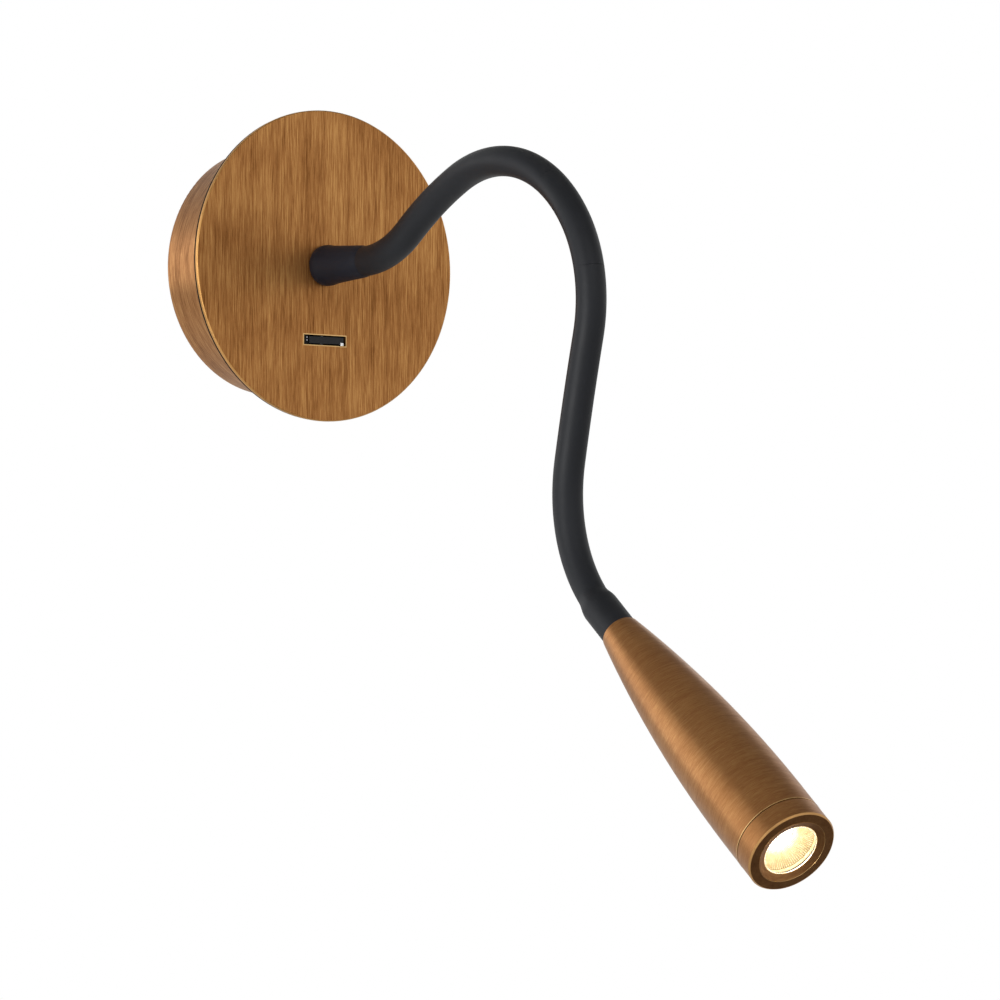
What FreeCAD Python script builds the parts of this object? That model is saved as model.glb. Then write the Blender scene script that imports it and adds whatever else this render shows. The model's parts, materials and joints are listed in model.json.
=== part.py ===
"""Bedside wall reading lamp with a gooseneck arm, as a parametric document in millimetres.

Row frame: +Z up, the wall is the plane Y = 0, the lamp stands out towards -Y, +X is to the right.
The origin lies on the wall at the axis of the round cup.
Local frame of the wall pieces: X right, Y up, Z out from the wall.
Local frame of the head pieces: Z along the head, from the neck to the light.
"""
import FreeCAD, Part
import Sketcher
import math
import os

Vector = FreeCAD.Vector
Rotation = FreeCAD.Rotation
Placement = FreeCAD.Placement

FULL_TURN = 360
QUARTER_TURN = 90
CENTRE = Vector(0, 0, 0)
ALONG_X = Vector(1, 0, 0)
ALONG_Y = Vector(0, 1, 0)
ALONG_Z = Vector(0, 0, 1)
UPWARD = Rotation(ALONG_X, -QUARTER_TURN)
DOWNWARD = Rotation(ALONG_X, QUARTER_TURN)
HEXAGON_SIDES = 6
ARM_PIVOTS = 7
RAMP_STEPS = 6
RUN_SHARE = 0.45
TOUCH = 1e-6
MATCH = 1e-3

# Driving dimensions, millimetres and degrees.
SIZES = {
    # wall cup
    "cup_diameter": 80, "cup_depth": 28.5, "cup_wall": 1.5, "cup_edge_round": 0.8,
    "screw_spacing": 60, "screw_slot_width": 4.5, "screw_slot_length": 9,
    "entry_diameter": 12, "entry_across": -15, "entry_up": -6,
    "grommet_bore": 8, "grommet_flange": 15, "grommet_lip": 1.6, "grommet_recess": 0.2,
    # front disc and the black disc behind it
    "plate_diameter": 100, "plate_thickness": 1, "plate_chamfer": 0.3,
    "carrier_margin": 0.6, "carrier_thickness": 1.2, "shadow_gap": 0.8,
    "tab_width": 10, "tab_thickness": 1.8, "tab_length": 9, "tab_gap": 0.7,
    "grub_diameter": 3, "grub_length": 4.4, "grub_key": 1.5, "grub_key_depth": 2,
    "grub_behind_rim": 5,
    # rocker switch
    "slot_length": 16.5, "slot_height": 3.2, "slot_drop": 24,
    "rocker_across": 0.95, "rocker_length": 12.9, "rocker_height": 2.2, "rocker_proud": 0.2,
    "rocker_belly": 1.4,
    "rocker_pivot_depth": 3.4, "rocker_tilt": 6, "rocker_round": 0.6,
    "switch_length": 21, "switch_height": 7.4, "switch_depth": 10, "switch_well_depth": 5.6,
    "pin_diameter": 1.2, "blade_width": 4, "blade_thickness": 0.8, "blade_length": 4.5, "blade_spacing": 10,
    # driver
    "driver_length_share": 1.143, "driver_height_share": 0.4935, "driver_raise_share": 0.2857,
    "driver_depth": 13.5, "driver_wall": 1.2,
    "pad_thickness": 1, "pad_margin": 3, "lid_thickness": 1.2, "lid_lip": 1.5,
    "board_thickness": 1.2, "ledge_width": 1, "ledge_height": 2.4,
    "transformer_half": 6, "transformer_height": 6.5, "capacitor_across": 13,
    "input_can": 4, "output_can": 3,
    "can_height": 6.8, "choke_offset": 5, "choke_half": 1,
    # terminal block and earth screw
    "block_length": 20, "block_height": 10, "block_depth": 9, "block_drop_share": 0.7013,
    "pole_spacing": 6.5,
    "pole_screw": 3, "pole_screw_depth": 4, "wire_hole": 2.4, "wire_hole_depth": 5,
    "earth_across": 21, "earth_drop": 12, "earth_screw": 3, "earth_head": 5.6, "earth_head_height": 1.8,
    "earth_driver_slot": 0.8,
    "tag_thickness": 0.6, "tag_diameter": 6.4,
    "wire_diameter": 2, "wire_bend": 5, "wire_low": 5, "wire_grip": 0.7, "wire_end": 3,
    "wire_turn": -16, "wire_cross": -4, "neutral_across": 12, "live_across": 17,
    # gooseneck
    "tube_diameter": 9.6, "tube_bore": 6.8, "hose_diameter": 6.6, "hose_bore": 4, "cable_diameter": 3,
    "cable_bend": 9, "cable_low": 6,
    "arm_root": 21.5,
    "bend_a_length": 26, "bend_a_turn": 36, "bend_b_length": 30, "bend_b_turn": -13,
    "bend_c_length": 69, "bend_c_turn": -77.5, "bend_d_length": 38, "bend_d_turn": -50.5,
    "bend_e_length": 40, "bend_e_turn": 3, "bend_f_length": 51, "bend_f_turn": 63,
    "first_pivot": 39.7, "pivot_spacing": 35.36, "pivot_gap": 0.3,
    # root fitting, nut, washer and rubber collar
    "fitting_flange": 11, "fitting_flange_height": 2.4, "spigot_diameter": 9, "spigot_length": 16,
    "hose_seat": 10, "thread_diameter": 8, "thread_length": 14, "cable_hole": 4.4,
    "nut_across_flats": 13, "nut_height": 4, "washer_diameter": 15, "washer_thickness": 0.8,
    "washer_notch": 1.2, "washer_notches": 12,
    "collar_foot_diameter": 13.1, "collar_foot_height": 2.6, "collar_waist_diameter": 12.2,
    "collar_tip_diameter": 10.4, "collar_round": 0.4,
    # head
    "neck_diameter": 12.4, "head_diameter": 29.2, "head_length": 109, "barrel_length": 8.4,
    "shell_wall": 1.6, "neck_chamfer": 0.3, "neck_floor": 10, "head_thread_length": 9,
    "head_spigot_length": 12, "head_seat_end": 3,
    "cuff_diameter": 11.6, "cuff_length": 12.7, "cuff_ramp": 6, "cuff_round": 0.8,
    "bezel_length": 7.6, "bezel_rise": 0.1, "bezel_lip": 22.6, "bezel_lip_width": 0.15,
    "bezel_edge": 0.45, "bezel_back_edge": 0.2,
    "bezel_thread_length": 7, "bezel_bore": 23.2, "joint_gap": 0.1,
    "lens_window": 18.2, "lens_depth": 0.7, "lens_flange": 2, "bezel_ledge": 0.8,
    "gasket_thickness": 1, "gasket_bore": 19.6,
    "reflector_height": 4.7, "reflector_throat": 10, "reflector_mouth": 19.2,
    "led_board_diameter": 21, "led_board_thickness": 1.6, "emitter_diameter": 9, "emitter_height": 1,
    "board_screw_circle": 15, "board_screw": 2, "board_screw_head": 3.2, "board_screw_head_height": 0.9,
    "board_screw_length": 6,
    "sink_share": 1 / 3, "sink_flange": 2.7, "sink_diameter": 23.4, "sink_fins": 12,
    "sink_slot_width": 1.6, "sink_slot_depth": 5, "sink_bore": 4.4,
    # clearances
    "fit": 0.05, "slip": 0.1, "free": 0.3,
}

# Sizes that follow from the driving ones.
DERIVED = {
    "cup_radius": "cup_diameter / 2",
    "cup_bore": "cup_radius - cup_wall",
    "half_screws": "screw_spacing / 2",
    "slot_end": "screw_slot_width / 2",
    "slot_run": "(screw_slot_length - screw_slot_width) / 2",
    "entry_radius": "entry_diameter / 2",
    "grommet_hole": "grommet_bore / 2",
    "grommet_edge": "grommet_flange / 2",
    "carrier_back": "cup_depth + shadow_gap",
    "plate_back": "carrier_back + carrier_thickness",
    "plate_front": "plate_back + plate_thickness",
    "plate_radius": "plate_diameter / 2",
    "carrier_radius": "plate_radius - carrier_margin",
    "half_tab": "tab_width / 2",
    "tab_outer": "cup_bore - tab_gap",
    "tab_inner": "tab_outer - tab_thickness",
    "tab_end": "carrier_back - tab_length",
    "grub_radius": "grub_diameter / 2",
    "grub_height": "cup_depth - grub_behind_rim",
    "grub_out": "cup_radius - free",
    "grub_in": "grub_out - grub_length",
    "half_slot": "slot_length / 2",
    "half_slot_height": "slot_height / 2",
    "half_rocker": "rocker_length / 2",
    "rocker_pivot": "plate_front - rocker_pivot_depth",
    "rocker_top": "rocker_pivot_depth + rocker_proud",
    "half_switch": "switch_length / 2",
    "half_switch_height": "switch_height / 2",
    "switch_back": "carrier_back - switch_depth",
    "pin_radius": "pin_diameter / 2",
    "blade_tip": "switch_back - blade_length",
    "half_blades": "blade_spacing / 2",
    "half_blade": "blade_width / 2",
    "half_blade_thickness": "blade_thickness / 2",
    "driver_length": "cup_bore * driver_length_share",
    "driver_height": "cup_bore * driver_height_share",
    "driver_raise": "cup_bore * driver_raise_share",
    "half_driver": "driver_length / 2",
    "driver_top": "driver_raise + driver_height",
    "driver_back": "cup_wall + pad_thickness",
    "driver_front": "driver_back + driver_depth",
    "lid_front": "driver_front + lid_thickness",
    "tray_floor": "driver_back + driver_wall",
    "ledge_top": "tray_floor + ledge_height",
    "board_top": "ledge_top + board_thickness",
    "tray_side": "half_driver - driver_wall",
    "tray_low": "driver_raise + driver_wall",
    "tray_high": "driver_top - driver_wall",
    "tray_middle": "(tray_low + tray_high) / 2",
    "half_block": "block_length / 2",
    "block_drop": "cup_bore * block_drop_share",
    "block_top": "block_height / 2 - block_drop",
    "block_low": "block_top - block_height",
    "block_middle": "(block_top + block_low) / 2",
    "block_front": "cup_wall + block_depth",
    "pole_radius": "pole_screw / 2",
    "pole_screw_back": "block_front - pole_screw_depth",
    "wire_hole_radius": "wire_hole / 2",
    "wire_radius": "wire_diameter / 2",
    "wire_high": "blade_tip + wire_grip",
    "wire_middle": "(wire_low + wire_high) / 2",
    "earth_radius": "earth_screw / 2",
    "earth_head_radius": "earth_head / 2",
    "tag_radius": "tag_diameter / 2",
    "tag_front": "cup_wall + tag_thickness",
    "tube_radius": "tube_diameter / 2",
    "tube_inside": "tube_bore / 2",
    "hose_radius": "hose_diameter / 2",
    "hose_inside": "hose_bore / 2",
    "cable_radius": "cable_diameter / 2",
    "socket_radius": "tube_radius + pivot_gap",
    "flange_radius": "fitting_flange / 2",
    "spigot_radius": "spigot_diameter / 2",
    "hose_start": "spigot_length - hose_seat",
    "thread_radius": "thread_diameter / 2",
    "cable_way": "cable_hole / 2",
    "nut_radius": "nut_across_flats / 2 / cos(30)",
    "washer_radius": "washer_diameter / 2",
    "washer_back": "carrier_back - washer_thickness",
    "nut_back": "washer_back - nut_height",
    "foot_radius": "collar_foot_diameter / 2",
    "waist_radius": "collar_waist_diameter / 2",
    "tip_radius": "collar_tip_diameter / 2",
    "neck_radius": "neck_diameter / 2",
    "head_radius": "head_diameter / 2",
    "head_swell": "head_radius - neck_radius",
    "joint_line": "head_length - bezel_length",
    "head_arc_end": "joint_line - barrel_length",
    "head_arc": "(head_arc_end ^ 2 + head_swell ^ 2) / (2 * head_swell)",
    "cavity_arc": "head_arc - shell_wall",
    "cavity_radius": "head_radius - shell_wall",
    "cavity_start": "sqrt(cavity_arc ^ 2 - (head_arc_end - neck_floor) ^ 2) + head_radius - head_arc",
    "cuff_radius": "cuff_diameter / 2",
    "bezel_front": "head_length + bezel_rise",
    "lip_radius": "bezel_lip / 2",
    "bezel_inside": "bezel_bore / 2",
    "window_radius": "lens_window / 2",
    "lens_front": "head_length - lens_depth",
    "ledge_back": "lens_front - bezel_ledge",
    "lens_back": "ledge_back - fit - lens_flange",
    "gasket_back": "lens_back - gasket_thickness",
    "gasket_inside": "gasket_bore / 2",
    "reflector_back": "gasket_back - reflector_height",
    "throat_radius": "reflector_throat / 2",
    "mouth_radius": "reflector_mouth / 2",
    "emitter_radius": "emitter_diameter / 2",
    "emitter_back": "reflector_back - emitter_height - slip",
    "board_back": "emitter_back - led_board_thickness",
    "led_board_radius": "led_board_diameter / 2",
    "sink_front": "board_back",
    "sink_flange_front": "joint_line - bezel_thread_length - slip",
    "sink_flange_back": "sink_flange_front - sink_flange",
    "sink_length": "head_arc_end * sink_share",
    "sink_back": "sink_flange_back - sink_length",
    "sink_radius": "sink_diameter / 2",
    "sink_hole": "sink_bore / 2",
    "half_sink_slot": "sink_slot_width / 2",
    "screw_circle_radius": "board_screw_circle / 2",
    "board_screw_radius": "board_screw / 2",
    "board_screw_head_radius": "board_screw_head / 2",
}

doc = FreeCAD.newDocument("reading_lamp")
sheet = doc.addObject("Spreadsheet::Sheet", "Sizes")
pieces = []


def fill_sheet():
    """Write every size in column B with its alias, and its name beside it."""
    entries = [(alias, str(value)) for alias, value in SIZES.items()]
    entries += [(alias, "=" + text) for alias, text in DERIVED.items()]
    for row, (alias, text) in enumerate(entries, start=1):
        sheet.set(f"A{row}", alias)
        sheet.set(f"B{row}", text)
        sheet.setAlias(f"B{row}", alias)
    doc.recompute()


def number(text):
    """Value of a sum of aliases and numbers, such as 'cup_radius - cup_wall'."""
    total = 0.0
    sign = 1
    for word in text.split():
        if word in ("+", "-"):
            sign = 1 if word == "+" else -1
        elif word[0].isalpha():
            total += sign * float(sheet.get(word))
        else:
            total += sign * float(word)
    return total


def formula(text):
    """The same sum as an expression on the sheet."""
    return " ".join("Sizes." + word if word[0].isalpha() else word for word in text.split())


def spot(across, up, out):
    """A point whose three coordinates are sums."""
    return Vector(number(across), number(up), number(out))


# ---------------------------------------------------------------- document helpers

def finish(piece, label, place):
    """Name a piece, place it and put it on the list of pieces."""
    piece.Label = label
    piece.Placement = place
    pieces.append(piece)
    return piece


def origin_plane(body, role):
    return next(feature for feature in body.Origin.OriginFeatures if feature.Role == role)


def new_body(label, place):
    return finish(doc.addObject("PartDesign::Body", label), label, place)


def new_sketch(body, role, height=None):
    """Sketch on one of the body's own planes, lifted off it by a height where one is given."""
    sketch = body.newObject("Sketcher::SketchObject", body.Name + "_sketch")
    sketch.AttachmentSupport = [(origin_plane(body, role), "")]
    sketch.MapMode = "FlatFace"
    if height is not None:
        sketch.setExpression("AttachmentOffset.Base.z", formula(height))
    return sketch


def pin_down(sketch, geometry, position, across, up):
    """Fix a point of a sketch at two sums measured from the sketch's origin."""
    for kind, axis, text in (("DistanceX", -2, across), ("DistanceY", -1, up)):
        if text == "0":
            sketch.addConstraint(Sketcher.Constraint("PointOnObject", geometry, position, axis))
        else:
            values = (kind, -1, 1, geometry, position, number(text))
            index = sketch.addConstraint(Sketcher.Constraint(*values))
            sketch.setExpression(f"Constraints[{index}]", formula(text))


def round_edge(start, end, radius):
    """Arc from start to end; a negative radius bulges to the other side of the chord."""
    chord = end - start
    offset = math.sqrt(radius ** 2 - (chord.Length / 2) ** 2)
    side = Vector(-chord.y, chord.x, 0).normalize() * math.copysign(offset, radius)
    middle = (start + end) / 2 + side
    circle = Part.Circle(middle, ALONG_Z, abs(radius))
    low = math.atan2(start.y - middle.y, start.x - middle.x)
    high = math.atan2(end.y - middle.y, end.x - middle.x)
    if radius < 0:
        low, high = high, low
    if high < low:
        high += 2 * math.pi
    return Part.ArcOfCircle(circle, low, high)


def outline(sketch, corners):
    """Closed outline through corners (across, up) or (across, up, sign, radius), all of them sums.

    The stretch that leaves a corner of the second kind is an arc: sign 1 has its centre to the left
    of the way to the next corner, and sign -1 to the right.
    """
    spots = [spot(corner[0], corner[1], "0") for corner in corners]
    ends = []
    for index, corner in enumerate(corners):
        start = spots[index]
        end = spots[(index + 1) % len(corners)]
        if len(corner) == 4:
            edge = sketch.addGeometry(round_edge(start, end, corner[2] * number(corner[3])))
            bound = sketch.addConstraint(Sketcher.Constraint("Radius", edge, number(corner[3])))
            sketch.setExpression(f"Constraints[{bound}]", formula(corner[3]))
            ends.append((edge, 1, 2) if corner[2] > 0 else (edge, 2, 1))
        else:
            edge = sketch.addGeometry(Part.LineSegment(start, end))
            ends.append((edge, 1, 2))
    for index, (edge, first, last) in enumerate(ends):
        following, opening, _ = ends[(index + 1) % len(ends)]
        sketch.addConstraint(Sketcher.Constraint("Coincident", edge, last, following, opening))
        pin_down(sketch, edge, first, corners[index][0], corners[index][1])


def circle(sketch, across, up, radius):
    edge = sketch.addGeometry(Part.Circle(spot(across, up, "0"), ALONG_Z, number(radius)))
    pin_down(sketch, edge, 3, across, up)
    bound = sketch.addConstraint(Sketcher.Constraint("Radius", edge, number(radius)))
    sketch.setExpression(f"Constraints[{bound}]", formula(radius))


def rectangle(sketch, left, right, low, high):
    outline(sketch, [(left, low), (right, low), (right, high), (left, high)])


def slot(sketch, across, up, run, end):
    """Round-ended slot, centred on a point: run is half the straight stretch, end the end's radius."""
    left = f"{across} - {run}"
    right = f"{across} + {run}"
    low = f"{up} - {end}"
    high = f"{up} + {end}"
    outline(sketch, [(left, low), (right, low, 1, end), (f"{right} + {end}", up, 1, end), (right, high),
                     (left, high, 1, end), (f"{left} - {end}", up, 1, end)])


def turned(label, place, corners):
    """Body turned about its own Z axis from an outline of (radius, height) corners."""
    body = new_body(label, place)
    sketch = new_sketch(body, "XZ_Plane")
    outline(sketch, corners)
    turn = body.newObject("PartDesign::Revolution", label + "_turn")
    turn.Profile = sketch
    turn.ReferenceAxis = (sketch, ["V_Axis"])
    turn.Angle = FULL_TURN
    doc.recompute()
    return body


def pad(body, sketch, length):
    feature = body.newObject("PartDesign::Pad", body.Name + "_pad")
    feature.Profile = sketch
    feature.setExpression("Length", formula(length))
    doc.recompute()
    return feature


def pocket_through(body, sketch, both_ways=False):
    """Cut a sketch through the whole body, and make sure that it removed something."""
    before = body.Shape.Volume
    feature = body.newObject("PartDesign::Pocket", body.Name + "_pocket")
    feature.Profile = sketch
    feature.Type = "ThroughAll"
    feature.Midplane = both_ways
    doc.recompute()
    if body.Shape.Volume >= before:
        feature.Reversed = True
        doc.recompute()
    if body.Shape.Volume >= before:
        raise RuntimeError(body.Label + ": a pocket removed nothing")
    return feature


def pocket(body, sketch, depth):
    """Cut a sketch to a depth below its plane, and make sure that it removed something."""
    before = body.Shape.Volume
    feature = body.newObject("PartDesign::Pocket", body.Name + "_pocket")
    feature.Profile = sketch
    feature.setExpression("Length", formula(depth))
    doc.recompute()
    if body.Shape.Volume >= before:
        raise RuntimeError(body.Label + ": a pocket removed nothing")
    return feature


def ring_edges(shape, radius, height):
    """Names of the round edges about the local Z axis with this radius at this height."""
    names = []
    for index, edge in enumerate(shape.Edges, start=1):
        curve = edge.Curve
        if not isinstance(curve, Part.Circle):
            continue
        on_axis = math.hypot(curve.Center.x, curve.Center.y) < MATCH
        if on_axis and abs(curve.Radius - radius) < MATCH and abs(curve.Center.z - height) < MATCH:
            names.append(f"Edge{index}")
    return names


def soften(body, kind, size, edges):
    """Fillet or chamfer of one size on edges given as (radius, height) sums."""
    base = body.Tip
    names = []
    for radius, height in edges:
        names += ring_edges(base.Shape, number(radius), number(height))
    feature = body.newObject("PartDesign::" + kind, f"{body.Name}_{kind.lower()}")
    feature.Base = (base, names)
    feature.setExpression("Radius" if kind == "Fillet" else "Size", formula(size))
    doc.recompute()
    return feature


def around(body, feature, count):
    """Polar pattern of a feature about the body's Z axis."""
    pattern = body.newObject("PartDesign::PolarPattern", body.Name + "_around")
    pattern.Originals = [feature]
    pattern.Axis = (feature.Profile[0], ["N_Axis"])
    pattern.Angle = FULL_TURN
    pattern.setExpression("Occurrences", formula(count))
    body.Tip = pattern
    doc.recompute()
    return pattern


def box(left, right, low, high, back, front):
    """Block between six sums."""
    block = doc.addObject("Part::Box", "block")
    for name, first, last in (("Length", left, right), ("Width", low, high), ("Height", back, front)):
        block.setExpression(name, f"({formula(last)}) - ({formula(first)})")
    for axis, text in (("x", left), ("y", low), ("z", back)):
        block.setExpression("Placement.Base." + axis, formula(text))
    return block


def rod(across, up, out, radius, length, turn=None):
    """Cylinder that starts at a point and runs along Z, or along the axis that a rotation turns Z to."""
    cylinder = doc.addObject("Part::Cylinder", "rod")
    cylinder.setExpression("Radius", formula(radius))
    cylinder.setExpression("Height", formula(length))
    if turn is not None:
        cylinder.Placement = Placement(CENTRE, turn)
    for axis, text in (("x", across), ("y", up), ("z", out)):
        cylinder.setExpression("Placement.Base." + axis, formula(text))
    return cylinder


def joined(parts):
    fused = doc.addObject("Part::MultiFuse", "joined")
    fused.Shapes = parts
    return fused


def cut(base, tools):
    """Base less its tools."""
    result = doc.addObject("Part::Cut", "cut")
    result.Base = base
    result.Tool = tools[0] if len(tools) == 1 else joined(tools)
    return result


def group(parts):
    """Several solids of one kind as one node."""
    compound = doc.addObject("Part::Compound", "group")
    compound.Links = parts
    return compound


def fixed_shape(label, place, shape):
    """Piece whose shape is worked out below from the sheet."""
    feature = doc.addObject("Part::Feature", label)
    feature.Shape = shape
    return finish(feature, label, place)


# ---------------------------------------------------------------- frames of the arm

def arm_spans():
    """The gooseneck's centreline as (length, turn in radians), from the plate to the head's neck."""
    spans = [(number("arm_root"), 0.0)]
    for letter in "abcdef":
        turn = math.radians(number(f"bend_{letter}_turn"))
        spans.append((number(f"bend_{letter}_length"), turn))
    spans.append((number("cuff_length"), 0.0))
    return spans


def heading(rise):
    """Direction of the centreline where it rises by an angle above the level way out of the wall."""
    return Vector(0, math.sin(rise), math.cos(rise))


def across_heading(rise):
    """In-plane normal of the centreline: a growing rise turns the heading towards it."""
    return Vector(0, math.cos(rise), -math.sin(rise))


def arm_length():
    return sum(length for length, _ in arm_spans())


def walk(distance):
    """Point and rise of the centreline at a distance from the plate."""
    point = Vector(0, 0, number("plate_front"))
    rise = 0.0
    for length, turn in arm_spans():
        step = min(length, distance)
        share = turn * step / length
        if turn:
            radius = length / turn
            point = point + (across_heading(rise) - across_heading(rise + share)) * radius
        else:
            point = point + heading(rise) * step
        rise += share
        distance -= step
        if distance <= 0:
            break
    return point, rise


def pivot_at(index):
    """Distance along the centreline of pivot 1, 2 and so on."""
    return number("first_pivot") + (index - 1) * number("pivot_spacing")


# ---------------------------------------------------------------- tubes along the arm and wires

def ring_face(point, direction, inner, outer):
    rings = [Part.Wire(Part.makeCircle(radius, point, direction)) for radius in (outer, inner) if radius]
    return Part.makeFace(rings, "Part::FaceMakerBullseye")


def arm_tube(start, end, inner, outer):
    """Solids of a round tube on the centreline, one for each straight or round stretch."""
    solids = []
    passed = 0.0
    for length, turn in arm_spans():
        first = max(start, passed)
        last = min(end, passed + length)
        passed += length
        if last - first < TOUCH:
            continue
        point, rise = walk(first)
        face = ring_face(point, heading(rise), inner, outer)
        if turn:
            centre = point + across_heading(rise) * (length / turn)
            axis = ALONG_X * -math.copysign(1, turn)
            angle = math.degrees(abs(turn) * (last - first) / length)
            solids.append(face.revolve(centre, axis, angle))
        else:
            solids.append(face.extrude(heading(rise) * (last - first)))
    return solids


def ball_end(distance, inner, outer):
    """Rounded end of a link: its far surface lies on a ball about the pivot."""
    point, rise = walk(distance)
    ahead = heading(rise)
    side = across_heading(rise)
    ball = number("tube_radius")

    def at(radius, forward):
        return point + side * radius + ahead * forward

    corner = math.sqrt(max(ball ** 2 - outer ** 2, 0))
    reach = math.sqrt(ball ** 2 - inner ** 2)
    middle = (math.atan2(corner, outer) + math.atan2(reach, inner)) / 2
    top = at(ball * math.cos(middle), ball * math.sin(middle))
    edges = [
        Part.makeLine(at(inner, 0), at(outer, 0)),
        Part.Arc(at(outer, corner), top, at(inner, reach)).toShape(),
        Part.makeLine(at(inner, reach), at(inner, 0)),
    ]
    if corner > TOUCH:
        edges.insert(1, Part.makeLine(at(outer, 0), at(outer, corner)))
    return Part.Face(Part.Wire(edges)).revolve(point, ahead, FULL_TURN)


def one_solid(solids):
    """Fuse solids that touch, and make sure that they became one."""
    whole = solids[0].multiFuse(solids[1:]).removeSplitter() if len(solids) > 1 else solids[0]
    if len(whole.Solids) != 1:
        raise RuntimeError("stretches that should join lie apart")
    return whole.Solids[0]


def arm_piece(start, end, inner, outer, socket_at=None, ball_at=None):
    """Layer of the gooseneck between two distances, with its ball end and its socket."""
    solids = arm_tube(start, end, inner, outer)
    if ball_at is not None:
        solids.append(ball_end(ball_at, inner, outer))
    whole = one_solid(solids)
    if socket_at is not None:
        point, _ = walk(socket_at)
        whole = whole.cut(Part.makeSphere(number("socket_radius"), point)).Solids[0]
    return whole


def wire_solid(points, radius, bend):
    """Round wire through points, its corners rounded by arcs as large as the runs and bend allow."""
    solids = []
    position = points[0]
    for index in range(1, len(points)):
        corner = points[index]
        before = (corner - points[index - 1]).normalize()
        if index == len(points) - 1:
            solids.append(Part.makeCylinder(radius, (corner - position).Length, position, before))
            break
        after = (points[index + 1] - corner).normalize()
        turn = before.getAngle(after)
        shorter = min((corner - points[index - 1]).Length, (points[index + 1] - corner).Length)
        arc = min(bend, RUN_SHARE * shorter / math.tan(turn / 2))
        cut_back = arc * math.tan(turn / 2)
        start = corner - before * cut_back
        axis = before.cross(after).normalize()
        centre = start + axis.cross(before) * arc
        solids.append(Part.makeCylinder(radius, (start - position).Length, position, before))
        disc = ring_face(start, before, 0, radius)
        solids.append(disc.revolve(centre, axis, math.degrees(turn)))
        position = corner + after * cut_back
    return one_solid(solids)


fill_sheet()
WALL = Placement(CENTRE, Rotation(ALONG_X, QUARTER_TURN))
NECK_POINT, NECK_RISE = walk(arm_length())
HEAD = WALL * Placement(NECK_POINT, Rotation(ALONG_X, -math.degrees(NECK_RISE)))


# ---------------------------------------------------------------- wall cup and plates

def make_base_cup():
    """Turned cup against the wall: two screw slots, a cable hole, an earth hole and two side holes."""
    body = turned("base_cup", WALL, [
        ("0", "0"), ("cup_radius", "0"), ("cup_radius", "cup_depth"), ("cup_bore", "cup_depth"),
        ("cup_bore", "cup_wall"), ("0", "cup_wall")])
    soften(body, "Fillet", "cup_edge_round", [("cup_radius", "0")])
    holes = new_sketch(body, "XY_Plane", "cup_wall")
    circle(holes, "entry_across", "entry_up", "entry_radius")
    circle(holes, "earth_across", "- earth_drop", "earth_radius + fit")
    pocket_through(body, holes)
    for side in ("half_screws", "- half_screws"):
        screws = new_sketch(body, "XY_Plane", "cup_wall")
        slot(screws, side, "0", "slot_run", "slot_end")
        pocket_through(body, screws)
    sides = new_sketch(body, "XZ_Plane")
    circle(sides, "0", "grub_height", "grub_radius + slip")
    pocket_through(body, sides, both_ways=True)


def make_cable_grommet():
    place = WALL * Placement(spot("entry_across", "entry_up", "0"), Rotation())
    body = turned("cable_grommet", place, [
        ("grommet_hole", "grommet_recess"), ("entry_radius - fit", "grommet_recess"),
        ("entry_radius - fit", "cup_wall"), ("grommet_edge", "cup_wall"),
        ("grommet_edge", "cup_wall + grommet_lip"), ("grommet_hole", "cup_wall + grommet_lip")])
    soften(body, "Fillet", "free", [("grommet_edge", "cup_wall + grommet_lip")])


def switch_opening(body, height):
    """The switch's slot through a plate, a round hole for the gooseneck's thread beside it."""
    opening = new_sketch(body, "XY_Plane", height)
    low = "- slot_drop - half_slot_height"
    high = "half_slot_height - slot_drop"
    rectangle(opening, "- half_slot", "half_slot", low, high)
    circle(opening, "0", "0", "thread_radius + slip")
    pocket_through(body, opening)


def make_front_plate():
    body = new_body("front_plate", WALL)
    disc = new_sketch(body, "XY_Plane", "plate_back")
    circle(disc, "0", "0", "plate_radius")
    pad(body, disc, "plate_thickness")
    soften(body, "Chamfer", "plate_chamfer", [("plate_radius", "plate_front")])
    switch_opening(body, "plate_front")


def make_carrier_plate():
    """Black disc behind the front plate; its two tabs reach into the cup for the grub screws."""
    body = new_body("carrier_plate", WALL)
    disc = new_sketch(body, "XY_Plane", "carrier_back")
    circle(disc, "0", "0", "carrier_radius")
    pad(body, disc, "carrier_thickness")
    switch_opening(body, "plate_back")
    for low, high in (("tab_inner", "tab_outer"), ("- tab_outer", "- tab_inner")):
        tab = new_sketch(body, "XY_Plane", "tab_end")
        rectangle(tab, "- half_tab", "half_tab", low, high)
        pad(body, tab, "tab_length")
    holes = new_sketch(body, "XZ_Plane")
    circle(holes, "0", "grub_height", "grub_radius + fit")
    pocket_through(body, holes, both_ways=True)


def make_grub_screws():
    """Two socket set screws, top and bottom."""
    screws = []
    for angle in (-QUARTER_TURN, QUARTER_TURN):
        turn = Rotation(ALONG_X, angle)
        side = "" if angle < 0 else "- "
        shank = rod("0", f"{side}grub_in", "grub_height", "grub_radius", "grub_length", turn)
        key = doc.addObject("Part::Prism", "key")
        key.Polygon = HEXAGON_SIDES
        key.setExpression("Circumradius", "Sizes.grub_key / 2 / cos(30)")
        key.setExpression("Height", "Sizes.grub_key_depth + Sizes.slip")
        key.Placement = Placement(CENTRE, turn)
        start = "grub_out - grub_key_depth" if angle < 0 else "grub_key_depth - grub_out"
        key.setExpression("Placement.Base.y", formula(start))
        key.setExpression("Placement.Base.z", formula("grub_height"))
        screws.append(cut(shank, [key]))
    finish(group(screws), "grub_screws", WALL)


# ---------------------------------------------------------------- rocker switch

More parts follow.
